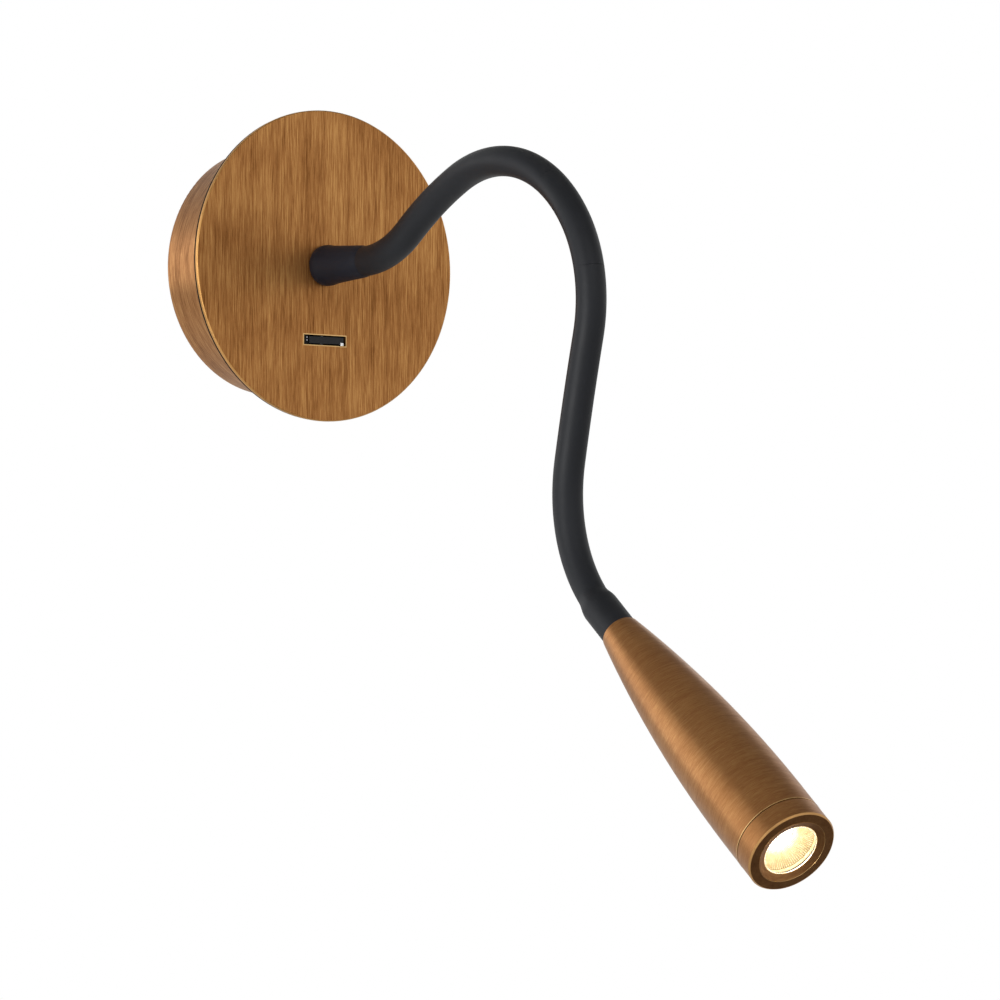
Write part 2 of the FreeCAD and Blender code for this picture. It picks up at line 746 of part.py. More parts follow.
def make_switch_body():
    """Slim housing on the carrier's back, with a well for the rocker and holes for its pin."""
    low = "- slot_drop - half_switch_height"
    high = "half_switch_height - slot_drop"
    housing = box("- half_switch", "half_switch", low, high, "switch_back", "carrier_back")
    well = box("- half_slot", "half_slot", "- slot_drop - half_slot_height", "half_slot_height - slot_drop",
               "carrier_back - switch_well_depth", "carrier_back + slip")
    pin_hole = rod("rocker_across", high, "rocker_pivot", "pin_radius + fit", "switch_height", DOWNWARD)
    finish(cut(housing, [well, pin_hole]), "switch_body", WALL)


def make_switch_rocker():
    """Flat paddle that tips about an upright pin; at rest its left end is pressed in."""
    pivot = Placement(spot("rocker_across", "- slot_drop", "rocker_pivot"),
                      Rotation(ALONG_Y, -number("rocker_tilt")))
    body = new_body("switch_rocker", WALL * pivot)
    profile = new_sketch(body, "XZ_Plane")
    outline(profile, [
        ("- half_rocker", "0"), ("- pin_radius - free", "- rocker_belly"),
        ("pin_radius + free", "- rocker_belly"),
        ("half_rocker", "0"), ("half_rocker", "rocker_top - rocker_round", 1, "rocker_round"),
        ("half_rocker - rocker_round", "rocker_top"),
        ("rocker_round - half_rocker", "rocker_top", 1, "rocker_round"),
        ("- half_rocker", "rocker_top - rocker_round")])
    circle(profile, "0", "0", "pin_radius + fit")
    pad(body, profile, "rocker_height").Midplane = True
    doc.recompute()


def make_switch_pin():
    top = "half_switch_height - slot_drop"
    pin = rod("rocker_across", top, "rocker_pivot", "pin_radius", "switch_height", DOWNWARD)
    finish(group([pin]), "switch_pin", WALL)


def make_switch_terminals():
    blades = []
    for side in ("- half_blades", "half_blades"):
        blades.append(box(f"{side} - half_blade", f"{side} + half_blade",
                          "- slot_drop - half_blade_thickness", "half_blade_thickness - slot_drop",
                          "blade_tip", "switch_back"))
    finish(group(blades), "switch_terminals", WALL)


# ---------------------------------------------------------------- driver

def make_driver_pad():
    pad_block = box("pad_margin - half_driver", "half_driver - pad_margin", "driver_raise + pad_margin",
                    "driver_top - pad_margin", "cup_wall", "driver_back")
    finish(group([pad_block]), "driver_pad", WALL)


def make_driver_case():
    """Open tray with a ledge along each long side; wires come in through its lower wall."""
    tray = box("- half_driver", "half_driver", "driver_raise", "driver_top", "driver_back", "driver_front")
    hollow = box("- tray_side", "tray_side", "tray_low", "tray_high", "tray_floor", "driver_front + slip")
    holes = []
    for across, out, radius in (("0", "cable_low", "cable_radius + slip"),
                                ("neutral_across", "wire_low", "wire_radius + slip"),
                                ("live_across", "wire_middle", "wire_radius + slip")):
        holes.append(rod(across, "driver_raise - slip", out, radius, "driver_wall + slip + slip", UPWARD))
    ledges = []
    for low, high in (("tray_low", "tray_low + ledge_width"), ("tray_high - ledge_width", "tray_high")):
        ledges.append(box("- tray_side", "tray_side", low, high, "tray_floor", "ledge_top"))
    finish(cut(joined([cut(tray, [hollow])] + ledges), holes), "driver_case", WALL)


def make_driver_lid():
    """Flat lid with a rim that drops into the tray."""
    cover = box("- half_driver", "half_driver", "driver_raise", "driver_top", "driver_front", "lid_front")
    rim = box("fit - tray_side", "tray_side - fit", "tray_low + fit", "tray_high - fit",
              "driver_front - lid_lip", "driver_front")
    inside = box("lid_lip - tray_side", "tray_side - lid_lip", "tray_low + lid_lip", "tray_high - lid_lip",
                 "driver_front - lid_lip - slip", "driver_front")
    finish(joined([cover, cut(rim, [inside])]), "driver_lid", WALL)


def make_driver_board():
    """Circuit board on the tray's ledges with its transformer, two capacitors and a choke."""
    board = box("fit - tray_side", "tray_side - fit", "tray_low + fit", "tray_high - fit",
                "ledge_top", "board_top")
    transformer = box("- transformer_half", "transformer_half", "tray_middle - transformer_half",
                      "tray_middle + transformer_half", "board_top", "board_top + transformer_height")
    parts = [board, transformer]
    for across, radius, height in (("- capacitor_across", "input_can", "can_height"),
                                   ("capacitor_across", "output_can", "can_height")):
        parts.append(rod(across, "tray_middle", "board_top", radius, height))
    choke_left = "capacitor_across - choke_offset - choke_half"
    choke_right = "capacitor_across - choke_offset + choke_half"
    choke = box(choke_left, choke_right, "tray_low + ledge_width", "tray_high - ledge_width",
                "board_top", "board_top + choke_half")
    parts.append(choke)
    finish(joined(parts), "driver_board", WALL)


# ---------------------------------------------------------------- terminals, earth and leads

POLES = ("- pole_spacing", "0", "pole_spacing")


def make_terminal_block():
    """Three-pole block on the cup's back: a wire hole from above and a screw hole for each pole."""
    block = box("- half_block", "half_block", "block_low", "block_top", "cup_wall", "block_front")
    holes = []
    for pole in POLES:
        holes.append(rod(pole, "block_top - wire_hole_depth", "wire_low", "wire_hole_radius",
                         "wire_hole_depth + slip", UPWARD))
        holes.append(rod(pole, "block_middle", "pole_screw_back", "pole_radius + fit",
                         "pole_screw_depth + slip"))
    finish(cut(block, holes), "terminal_block", WALL)


def make_terminal_screws():
    screws = []
    for pole in POLES:
        shank = rod(pole, "block_middle", "pole_screw_back", "pole_radius", "pole_screw_depth - slip")
        notch = box(f"{pole} - pole_radius", f"{pole} + pole_radius", "block_middle - free",
                    "block_middle + free", "block_front - earth_driver_slot", "block_front")
        screws.append(cut(shank, [notch]))
    finish(group(screws), "terminal_screws", WALL)


def make_earth_screw():
    shank = rod("earth_across", "- earth_drop", "grommet_recess", "earth_radius",
                "tag_front - grommet_recess")
    head = rod("earth_across", "- earth_drop", "tag_front", "earth_head_radius", "earth_head_height")
    notch = box("earth_across - earth_head_radius", "earth_across + earth_head_radius",
                "- earth_drop - free", "free - earth_drop", "tag_front + earth_driver_slot",
                "tag_front + earth_head_height")
    finish(joined([shank, cut(head, [notch])]), "earth_screw", WALL)


def lead(points):
    """Round wire through points given as sums."""
    return wire_solid([spot(*point) for point in points], number("wire_radius"), number("wire_bend"))


def make_leads():
    """Mains neutral, the two switch leads and the earth lead, each along its own way through the cup."""
    neutral = lead([
        ("- pole_spacing", "block_top - wire_end", "wire_low"), ("- pole_spacing", "wire_turn", "wire_low"),
        ("neutral_across", "wire_cross", "wire_low"), ("neutral_across", "tray_low - slip", "wire_low")])
    fixed_shape("neutral_lead", WALL, neutral)
    blade_top = "half_blade_thickness - slot_drop"
    live_in = lead([
        ("0", "block_top - wire_end", "wire_low"), ("0", "wire_turn", "wire_low"),
        ("- half_blades", "wire_turn", "wire_high"), ("- half_blades", blade_top, "wire_high")])
    live_out = lead([
        ("half_blades", blade_top, "wire_high"), ("half_blades", "wire_turn", "wire_high"),
        ("live_across", "wire_cross", "wire_middle"), ("live_across", "tray_low - slip", "wire_middle")])
    fixed_shape("switch_leads", WALL, Part.makeCompound([live_in, live_out]))
    tag_middle = spot("earth_across", "- earth_drop", "cup_wall")
    tag = Part.makeCylinder(number("tag_radius"), number("tag_thickness"), tag_middle)
    hole = Part.makeCylinder(number("earth_radius + fit"), number("tag_thickness"), tag_middle)
    earth = lead([
        ("pole_spacing", "block_top - wire_end", "wire_low"), ("pole_spacing", "wire_turn", "wire_low"),
        ("earth_across - tag_radius", "- earth_drop", "cup_wall + wire_radius")])
    fixed_shape("earth_lead", WALL, one_solid([tag.cut(hole), earth]).removeSplitter())


# ---------------------------------------------------------------- gooseneck root

def make_root_fitting():
    """Hollow fitting: a thread through both plates, a flange on the front and a spigot for the hose."""
    turned("root_fitting", WALL * Placement(spot("0", "0", "plate_front"), Rotation()), [
        ("cable_way", "- thread_length"), ("thread_radius", "- thread_length"), ("thread_radius", "0"),
        ("flange_radius", "0"), ("flange_radius", "fitting_flange_height"),
        ("spigot_radius", "fitting_flange_height"), ("spigot_radius", "spigot_length"),
        ("hose_radius + fit", "spigot_length"), ("hose_radius + fit", "hose_start"),
        ("cable_way", "hose_start")])


def make_root_washer():
    """Internal-tooth lock washer on the carrier's back."""
    body = new_body("root_washer", WALL)
    disc = new_sketch(body, "XY_Plane", "washer_back")
    circle(disc, "0", "0", "washer_radius")
    pad(body, disc, "washer_thickness")
    hole = new_sketch(body, "XY_Plane", "carrier_back")
    circle(hole, "0", "0", "thread_radius + fit")
    pocket_through(body, hole)
    notch = new_sketch(body, "XY_Plane", "carrier_back")
    rectangle(notch, "thread_radius", "thread_radius + washer_notch", "- free", "free")
    around(body, pocket_through(body, notch), "washer_notches")


def make_root_nut():
    nut = doc.addObject("Part::Prism", "nut")
    nut.Polygon = HEXAGON_SIDES
    nut.setExpression("Circumradius", "Sizes.nut_radius")
    nut.setExpression("Height", "Sizes.nut_height")
    nut.setExpression("Placement.Base.z", "Sizes.nut_back")
    bore = rod("0", "0", "nut_back - slip", "thread_radius + fit", "nut_height + slip + slip")
    finish(cut(nut, [bore]), "root_nut", WALL)


def make_root_collar():
    """Rubber boot over the root: a round foot on the plate, then a taper down to the tube."""
    body = turned("root_collar", WALL * Placement(spot("0", "0", "plate_front"), Rotation()), [
        ("flange_radius + slip", "0"), ("foot_radius", "0"), ("foot_radius", "collar_foot_height"),
        ("waist_radius", "collar_foot_height"), ("tip_radius", "arm_root"),
        ("tube_radius + fit", "arm_root"),
        ("tube_radius + fit", "spigot_length"), ("spigot_radius + fit", "spigot_length"),
        ("spigot_radius + fit", "fitting_flange_height + slip"),
        ("flange_radius + slip", "fitting_flange_height + slip")])
    soften(body, "Fillet", "collar_round", [("foot_radius", "collar_foot_height")])


# ---------------------------------------------------------------- gooseneck

LAYERS = {
    "sleeve": ("tube_inside", "tube_radius"),
    "hose": ("hose_inside", "hose_radius"),
    "cable": (None, "cable_radius"),
}


def layer_sizes(layer):
    inner, outer = LAYERS[layer]
    return number(inner) if inner else 0.0, number(outer)


def make_arm_links():
    """Six links between the seven pivots, each with its sleeve, its steel hose and its stretch of cable."""
    for index in range(1, ARM_PIVOTS):
        start = pivot_at(index)
        end = pivot_at(index + 1)
        for layer in LAYERS:
            inner, outer = layer_sizes(layer)
            shape = arm_piece(start, end, inner, outer, socket_at=start, ball_at=end)
            fixed_shape(f"{layer}_{index}", WALL, shape)


def make_root_stub():
    """The gooseneck's first stretch, fixed in the root fitting, and the cable back to the driver."""
    end = pivot_at(1)
    for layer, start in (("sleeve", number("spigot_length")), ("hose", number("hose_start"))):
        inner, outer = layer_sizes(layer)
        fixed_shape(layer + "_root", WALL, arm_piece(start, end, inner, outer, ball_at=end))
    radius = number("cable_radius")
    bend = number("cable_bend")
    level = spot("0", "0", "cable_low")
    top = Vector(0, number("tray_low - slip"), level.z)
    entry = Vector(0, bend, level.z)
    solids = [
        Part.makeCylinder(radius, top.y - bend, top, -ALONG_Y),
        ring_face(entry, -ALONG_Y, 0, radius).revolve(entry + ALONG_Z * bend, -ALONG_X, QUARTER_TURN),
        Part.makeCylinder(radius, number("plate_front") - level.z - bend, level + ALONG_Z * bend, ALONG_Z),
    ]
    solids += arm_tube(0, end, 0, radius)
    solids.append(ball_end(end, 0, radius))
    fixed_shape("cable_root", WALL, one_solid(solids))


def cuff_ramp(start, end):
    """The sleeve's S-shaped swelling from the tube's radius to the cuff's, along the centreline."""
    slim = number("tube_radius")
    thick = number("cuff_radius")
    rings = []
    for index in range(RAMP_STEPS + 1):
        share = index / RAMP_STEPS
        point, rise = walk(start + (end - start) * share)
        radius = slim + (thick - slim) * (1 - math.cos(math.pi * share)) / 2
        rings.append(Part.Wire(Part.makeCircle(radius, point, heading(rise))))
    return Part.makeLoft(rings, True)


def cuff():
    """The sleeve's thick straight end, rounded off against the neck, with room for the fitting's spigot."""
    end, rise = walk(arm_length())
    along = heading(rise)
    side = across_heading(rise)

    def at(radius, back):
        return end + side * radius - along * back

    length, thick, rim = number("cuff_length"), number("cuff_radius"), number("cuff_round")
    bevel = rim * (1 - math.sqrt(0.5))
    edges = [
        Part.makeLine(at(0, length), at(thick, length)),
        Part.makeLine(at(thick, length), at(thick, rim)),
        Part.Arc(at(thick, rim), at(thick - bevel, bevel), at(thick - rim, 0)).toShape(),
        Part.makeLine(at(thick - rim, 0), at(0, 0)),
        Part.makeLine(at(0, 0), at(0, length)),
    ]
    return Part.Face(Part.Wire(edges)).revolve(end, along, FULL_TURN)


def make_head_stub():
    """The gooseneck's last stretch, whose sleeve swells to a smooth cuff over the head fitting."""
    start = pivot_at(ARM_PIVOTS)
    whole = arm_length()
    cuff_start = whole - number("cuff_length")
    ramp_start = cuff_start - number("cuff_ramp")
    socket = Part.makeSphere(number("socket_radius"), walk(start)[0])
    neck, rise = walk(whole)
    along = heading(rise)
    inner, outer = layer_sizes("hose")
    hose_end = whole - number("head_seat_end")
    fixed_shape("hose_head", WALL, arm_piece(start, hose_end, inner, outer, socket_at=start))
    inner, outer = layer_sizes("sleeve")
    skin = one_solid(arm_tube(start, ramp_start, 0, outer) + [cuff_ramp(ramp_start, cuff_start), cuff()])
    bore = one_solid(arm_tube(start, whole, 0, inner))
    spigot = number("head_spigot_length")
    seat = Part.makeCylinder(number("spigot_radius + fit"), spigot, neck - along * spigot, along)
    fixed_shape("sleeve_head", WALL, skin.cut([bore, seat, socket]).Solids[0])
    radius = number("cable_radius")
    cable = arm_tube(start, whole, 0, radius)
    cable.append(Part.makeCylinder(radius, number("board_back"), neck, along))
    fixed_shape("cable_head", WALL, one_solid(cable).cut(socket).Solids[0])


# ---------------------------------------------------------------- head

def make_head_fitting():
    """Hollow fitting in the cuff: its thread screws into the shell's neck."""
    turned("head_fitting", HEAD, [
        ("hose_radius + fit", "- head_spigot_length"), ("spigot_radius", "- head_spigot_length"),
        ("spigot_radius", "0"), ("thread_radius", "0"), ("thread_radius", "head_thread_length"),
        ("cable_way", "head_thread_length"), ("cable_way", "- head_seat_end"),
        ("hose_radius + fit", "- head_seat_end")])


def make_head_shell():
    """Tapered shell: one long arc runs from the neck into a straight barrel."""
    body = turned("head_shell", HEAD, [
        ("thread_radius + fit", "0"), ("neck_radius", "0", 1, "head_arc"), ("head_radius", "head_arc_end"),
        ("head_radius", "joint_line"), ("cavity_radius", "joint_line"),
        ("cavity_radius", "head_arc_end", -1, "cavity_arc"), ("cavity_start", "neck_floor"),
        ("thread_radius + fit", "neck_floor")])
    soften(body, "Chamfer", "neck_chamfer", [("neck_radius", "0")])


def make_head_bezel():
    """Front ring: a thread into the shell, a bevel up to the lip and a cone down to the lens."""
    body = turned("head_bezel", HEAD, [
        ("bezel_inside", "joint_line - bezel_thread_length"),
        ("cavity_radius - slip", "joint_line - bezel_thread_length"),
        ("cavity_radius - slip", "joint_line + joint_gap"), ("head_radius", "joint_line + joint_gap"),
        ("head_radius", "head_length - bezel_edge"), ("head_radius - bezel_edge", "head_length"),
        ("lip_radius", "bezel_front"),
        ("lip_radius - bezel_lip_width", "bezel_front"), ("window_radius", "lens_front"),
        ("window_radius", "ledge_back"), ("bezel_inside", "ledge_back")])
    soften(body, "Chamfer", "bezel_back_edge", [("head_radius", "joint_line + joint_gap")])


def make_lens():
    turned("lens", HEAD, [
        ("0", "lens_back"), ("bezel_inside - slip", "lens_back"),
        ("bezel_inside - slip", "ledge_back - fit"),
        ("window_radius - slip", "ledge_back - fit"), ("window_radius - slip", "lens_front - slip"),
        ("0", "lens_front - slip")])


def make_lens_gasket():
    turned("lens_gasket", HEAD, [
        ("gasket_inside", "gasket_back"), ("bezel_inside - slip", "gasket_back"),
        ("bezel_inside - slip", "lens_back"), ("gasket_inside", "lens_back")])


def make_reflector():
    """Cone that spreads the light; its foot leaves room for the board's screw heads."""
    turned("reflector", HEAD, [
        ("throat_radius", "reflector_back"), ("bezel_inside - slip", "reflector_back"),
        ("bezel_inside - slip", "gasket_back"), ("mouth_radius", "gasket_back")])


def make_led_board():
    body = new_body("led_board", HEAD)
    disc = new_sketch(body, "XY_Plane", "board_back")
    circle(disc, "0", "0", "led_board_radius")
    pad(body, disc, "led_board_thickness")
    for side in ("screw_circle_radius", "- screw_circle_radius"):
        hole = new_sketch(body, "XY_Plane", "emitter_back")
        circle(hole, side, "0", "board_screw_radius + slip")
        pocket_through(body, hole)


def make_led_emitter():
    finish(group([rod("0", "0", "emitter_back", "emitter_radius", "emitter_height")]), "led_emitter", HEAD)


def make_heat_sink():
    """Turned plug: a slotted core in the shell and a flange behind the bezel's thread."""
    body = turned("heat_sink", HEAD, [
        ("sink_hole", "sink_back"), ("sink_radius", "sink_back"), ("sink_radius", "sink_flange_back"),
        ("cavity_radius - slip", "sink_flange_back"), ("cavity_radius - slip", "sink_flange_front"),
        ("bezel_inside - slip", "sink_flange_front"), ("bezel_inside - slip", "sink_front"),
        ("sink_hole", "sink_front")])
    for side in ("screw_circle_radius", "- screw_circle_radius"):
        hole = new_sketch(body, "XY_Plane", "sink_front")
        circle(hole, side, "0", "board_screw_radius + fit")
        pocket(body, hole, "board_screw_length")
    gap = new_sketch(body, "XY_Plane", "sink_flange_back")
    slot_floor = "sink_radius - sink_slot_depth"
    rectangle(gap, slot_floor, "sink_radius + free", "- half_sink_slot", "half_sink_slot")
    around(body, pocket(body, gap, "sink_length + slip"), "sink_fins")


def make_board_screws():
    """Two pan-head screws that hold the LED board on the heat sink."""
    screws = []
    for side in ("screw_circle_radius", "- screw_circle_radius"):
        head = rod(side, "0", "emitter_back", "board_screw_head_radius", "board_screw_head_height")
        shank = rod(side, "0", "emitter_back - board_screw_length", "board_screw_radius",
                    "board_screw_length")
        screws.append(joined([head, shank]))
    finish(group(screws), "board_screws", HEAD)


def check_document():
    """Stop on any failed object, and on any piece whose shape is missing or not valid."""
    doc.recompute()
    for item in doc.Objects:
        if "Invalid" in item.State or "Error" in item.State:
            raise RuntimeError(f"{item.Label} ({item.Name}) failed: {item.State}")
    for piece in pieces:
        if piece.Shape.isNull() or not piece.Shape.isValid() or not piece.Shape.Solids:
            raise RuntimeError(piece.Label + " has no valid solid")


def write_steps():
    os.makedirs("parts", exist_ok=True)
    for piece in pieces:
        piece.Shape.exportStep(f"parts/{piece.Label}.step")
    print(len(pieces), "pieces written")


make_base_cup()
make_cable_grommet()
make_front_plate()
make_carrier_plate()
make_grub_screws()
make_switch_body()
make_switch_rocker()
make_switch_pin()
make_switch_terminals()
make_driver_pad()
make_driver_case()
make_driver_lid()
make_driver_board()
make_terminal_block()
make_terminal_screws()
make_earth_screw()
make_leads()
make_root_fitting()
make_root_washer()
make_root_nut()
make_root_collar()
make_root_stub()
make_arm_links()
make_head_stub()
make_head_fitting()
make_head_shell()
make_head_bezel()
make_lens()
make_lens_gasket()
make_reflector()
make_led_board()
make_led_emitter()
make_heat_sink()
make_board_screws()
check_document()
write_steps()
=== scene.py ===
"""Bedside wall reading lamp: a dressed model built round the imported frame, laid out as an add-on."""
import json
import math

import bmesh
import bpy
from bpy.props import FloatProperty, FloatVectorProperty, IntProperty, PointerProperty
from mathutils import Matrix, Vector
from mathutils.bvhtree import BVHTree


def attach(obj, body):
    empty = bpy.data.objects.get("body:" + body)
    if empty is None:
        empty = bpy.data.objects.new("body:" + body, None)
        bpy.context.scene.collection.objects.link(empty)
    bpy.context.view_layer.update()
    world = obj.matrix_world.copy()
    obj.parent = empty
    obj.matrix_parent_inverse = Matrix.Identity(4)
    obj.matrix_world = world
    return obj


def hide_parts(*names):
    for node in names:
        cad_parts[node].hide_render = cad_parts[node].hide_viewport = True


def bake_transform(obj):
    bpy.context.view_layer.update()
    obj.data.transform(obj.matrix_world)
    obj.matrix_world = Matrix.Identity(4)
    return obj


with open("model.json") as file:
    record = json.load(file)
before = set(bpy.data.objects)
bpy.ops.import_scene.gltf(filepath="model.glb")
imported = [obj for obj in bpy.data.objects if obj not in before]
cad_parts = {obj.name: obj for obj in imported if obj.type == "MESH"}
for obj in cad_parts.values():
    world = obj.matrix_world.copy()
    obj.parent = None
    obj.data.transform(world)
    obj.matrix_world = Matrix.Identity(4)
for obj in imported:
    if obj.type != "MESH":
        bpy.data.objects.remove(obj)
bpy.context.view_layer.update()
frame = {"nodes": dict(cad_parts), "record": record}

bl_info = {
    "name": "Wall reading lamp",
    "version": (1, 0, 0),
    "blender": (4, 5, 0),
    "location": "View3D > Sidebar > Reading lamp",
    "description": "Builds the flexible wall reading lamp round its packed frame",
    "category": "Object",
}

MM = 0.001

# Sizes are in millimetres where no other unit is named. The plates: distances from the wall, and radii.
PLATE_FRONT = 31.5
PLATE_BACK = 30.5
PLATE_RADIUS = 50.0
CARRIER_RADIUS = 49.4

# The gooseneck's centreline, the same arcs as in the part's source, as (length, turn in degrees), and
# distances along it from the plate's front.
CUFF_LENGTH = 12.7
CUFF_RAMP = 6.0
ARM_SPANS = (
    (21.5, 0), (26, 36), (30, -13), (69, -77.5), (38, -50.5), (40, 3), (51, 63), (CUFF_LENGTH, 0))
ARM_END = sum(length for length, _ in ARM_SPANS)
RAMP_END = ARM_END - CUFF_LENGTH
RAMP_START = RAMP_END - CUFF_RAMP
FIRST_PIVOT = 39.7
PIVOT_SPACING = 35.36
ARM_BODIES = ("wall_unit", "link_1", "link_2", "link_3", "link_4", "link_5", "link_6", "head")
SLEEVE_START = 19.0
BLEND_INSET = 2.6
SWEEP_STEP = 0.4
CURVE_STEPS = 64

# Stations along the head from its neck, and radii.
LENS_FRONT = 108.2
LENS_SHOULDER = 107.45
LENS_BACK = 105.45
LENS_FLANGE = 11.5
LENS_WINDOW = 9.0
LENS_HOLE = 0.02
CROWN_STEPS = 6
REFLECTOR_BACK = 99.75
REFLECTOR_FRONT = 104.45
REFLECTOR_THROAT = 5.0
REFLECTOR_MOUTH = 9.5
GASKET_BORE = 9.8
JOINT_LINE = 101.4
HEAD_RADIUS = 14.6
FACE_STATION = 109.0
FACE_LIP = 11.3
FACE_BEVEL = 0.45
LIP_HEIGHT = 0.1

# The optic's ribs: how far they stay from the cone's ends, how thin they get at the throat, and the
# lens's own ribs' ends, as (distance inside its window, distance behind its front).
FLUTE_END = 0.25
FLUTE_TAPER = 0.55
EDGE_RIB_ENDS = ((0.42, 0.12), (0.18, 0.06))
EDGE_RIB_RADII = (0.1, 0.16)
RIB_SIDES = 10

# Play between a scene piece and the solid beside it, and how far the optic's wall laps the cone.
CLEARANCE = 0.02
WALL_LAP = 0.1
WALL_LAP_ALONG = 0.05

# The black ring behind the plate's rim, painted shade for the dark gap line there.
SHADE_RING_SETBACK = 0.12
SHADE_RING_DEPTH = 0.9

# The root boot's outline, along the arm from the plate, as (radius, distance).
BOOT_OUTLINE = (
    (4.85, 0.0), (6.25, 0.0), (6.48, 0.35), (6.56, 0.9), (6.56, 2.3), (6.5, 2.9), (6.32, 3.9),
    (6.14, 5.2), (5.96, 8.0), (5.7, 12.0), (5.46, 16.0), (5.3, 19.0), (5.2, 20.4), (5.06, 21.4),
    (4.92, 22.2), (4.82, 22.8))

# The switch: its slot's middle and half size, the end block's two corners, the pins' middles and the
# corners about them, and the mark's corners about the spot where a line straight in meets the rocker.
SLOT_MIDDLE = Vector((0, -PLATE_FRONT, -24))
SLOT_HALF = Vector((8.25, 0, 1.6))
END_BLOCK = (Vector((-8.27, -31.15, -25.55)), Vector((-6.35, -27.0, -22.45)))
PIN_MIDDLES = {
    "switch_pin_high": Vector((-6.8, -31.15, -23.24)),
    "switch_pin_low": Vector((-6.8, -31.15, -24.19)),
}
PIN_CORNERS = (Vector((-0.22, -0.1, -0.26)), Vector((0.22, 0.3, 0.26)))
MARK_LINE_START = Vector((6.25, -60, -24.75))
MARK_CORNERS = (Vector((-0.52, -0.14, -0.78)), Vector((0.52, 0.3, 0.15)))
BLOCK_ROUNDING = 0.15
PIN_ROUNDING = 0.09
MARK_ROUNDING = 0.12
ROUNDING_STEPS = 3

# How fine the turned pieces are, and the angles, in degrees, above which an edge stays sharp.
TURNED_SIDES = 96
RING_SIDES = 144
SHARP_ANGLE = 35
BOOT_SHARP_ANGLE = 50
MERGE_DISTANCE = 0.001

# Where the photograph was taken from: distance, then angles round and up, in metres and radians.
VIEW_TARGET = Vector((0, -PLATE_FRONT, 0)) * MM
VIEW_DISTANCE = 3.0
VIEW_PLACE = (math.radians(-35.55), math.radians(-4.855))
VIEW_HEADING = (math.radians(-36.63), math.radians(-3.422))
VIEW_ROLL = math.radians(0.1446)
VIEW_LENS = 336.16
SENSOR = 36.0

# The stage, in metres: each soft light's place and size, and the setting that holds its power, and
# each cloth's middle and half size. The lights face a spot in front of the plate.
LIGHTS = {
    "key_light": ((-1.5, -0.35, -0.1), 0.8, "key"),
    "rim_light": ((-1.0, 1.4, 0.2), 0.8, "rim"),
    "fill_light": ((-0.6, -2.0, 1.2), 1.2, "fill"),
}
LIGHT_AIM = VIEW_TARGET + Vector((0, -0.12, -0.05))
CLOTHS = {
    "canopy": ((0, 0, 1.2), 1.6),
    "apron": ((0.2, -0.38, -0.45), 0.24),
}
FLOOR_HALF = 30.0


def linear(code):
    """The linear colour of an sRGB hex value."""
    parts = [int(code[start:start + 2], 16) / 255 for start in (0, 2, 4)]
    return tuple(part / 12.92 if part <= 0.04045 else ((part + 0.055) / 1.055) ** 2.4 for part in parts)


def opaque(code):
    """The same with a full alpha, as a colour socket takes it."""
    return (*linear(code), 1.0)


WHITE = opaque("ffffff")


# ------------------------ settings

def length_setting(name, description, size, least=0.0):
    """A setting for a length, given in millimetres."""
    return FloatProperty(
        name=name, description=description, default=size * MM, min=least * MM,
        subtype="DISTANCE", unit="LENGTH")


def colour_setting(name, description, code):
    """A setting for a colour, given as sRGB hex."""
    return FloatVectorProperty(
        name=name, description=description, default=linear(code), size=3, min=0, max=1,
        subtype="COLOR")


def strength_setting(name, description, strength):
    """A setting for how strong a light is."""
    return FloatProperty(name=name, description=description, default=strength, min=0)


class SleeveSettings(bpy.types.PropertyGroup):
    diameter: length_setting("Diameter", "Outside of the silicone sleeve", 9.6, 1)
    wall: length_setting("Wall", "Thickness of the sleeve", 1.4, 0.1)
    cuff_diameter: length_setting("Cuff", "Outside of the swollen end over the head fitting", 11.6, 1)
    ring_spacing: length_setting("Ring spacing", "Distance between rings of faces", 0.9, 0.1)
    sides: IntProperty(name="Sides", description="Faces round the sleeve", default=64, min=8)
    colour: colour_setting("Colour", "Silicone of the sleeve and cuff", "14161b")
    # the boot's near black is its silicone; its blue tint is painted light, cancelling the warm brass
    # reflected in it
    boot_colour: colour_setting(
        "Boot colour", "Silicone of the boot, bluer against the brass round it", "0f1722")


class LensSettings(bpy.types.PropertyGroup):
    flutes: IntProperty(name="Flutes", description="Ribs round the optic's cone", default=80, min=12)
    flute_height: length_setting("Flute height", "How far a rib stands out of the cone", 0.2, 0.01)
    crown: length_setting("Crown", "How far the lens's middle stands out", 0.06)
    glow: strength_setting("Glow", "Strength of the lit LED behind the lens", 6.0)
    # the cone's glow is painted light: emission that stands for the LED's light the reflector throws
    # back
    cone_painted_glow: strength_setting("Cone glow", "Strength of the lit cone round the LED", 2.0)
    warm: colour_setting("Light colour", "Warm white of the lit LED", "fff0d2")


class BrassSettings(bpy.types.PropertyGroup):
    dark: colour_setting("Dark", "Patina left in the grain", "754821")
    middle: colour_setting("Middle", "Most of the surface", "a36f3e")
    bright: colour_setting("Bright", "Brushed highs of the grain", "c69458")
    age: FloatVectorProperty(
        name="Age", description="What the older patina of the cup and head makes of each colour part",
        default=(0.95, 1.0, 1.18), size=3, min=0, max=2)


# the edge pieces are painted highlights: bright brass along the edges stands for the light they catch
class EdgeSettings(bpy.types.PropertyGroup):
    width: length_setting("Width", "Width of a painted highlight edge", 0.3, 0.05)
    proud: length_setting("Proud", "How far the painted highlight edge stands out of the brass", 0.05)


class StageSettings(bpy.types.PropertyGroup):
    floor_drop: length_setting("Floor", "How far the floor lies under the lamp's cup", 500, 300)
    key: strength_setting("Key", "Power of the soft light on the left", 13.0)
    rim: strength_setting("Rim", "Power of the light behind on the left", 2.3)
    fill: strength_setting("Fill", "Power of the soft light high in front", 6.0)
    lift: strength_setting("Floor lift", "How much lighter the floor is seen", 0.2)
    sky: strength_setting("Surroundings", "Level of the even light all round", 0.55)


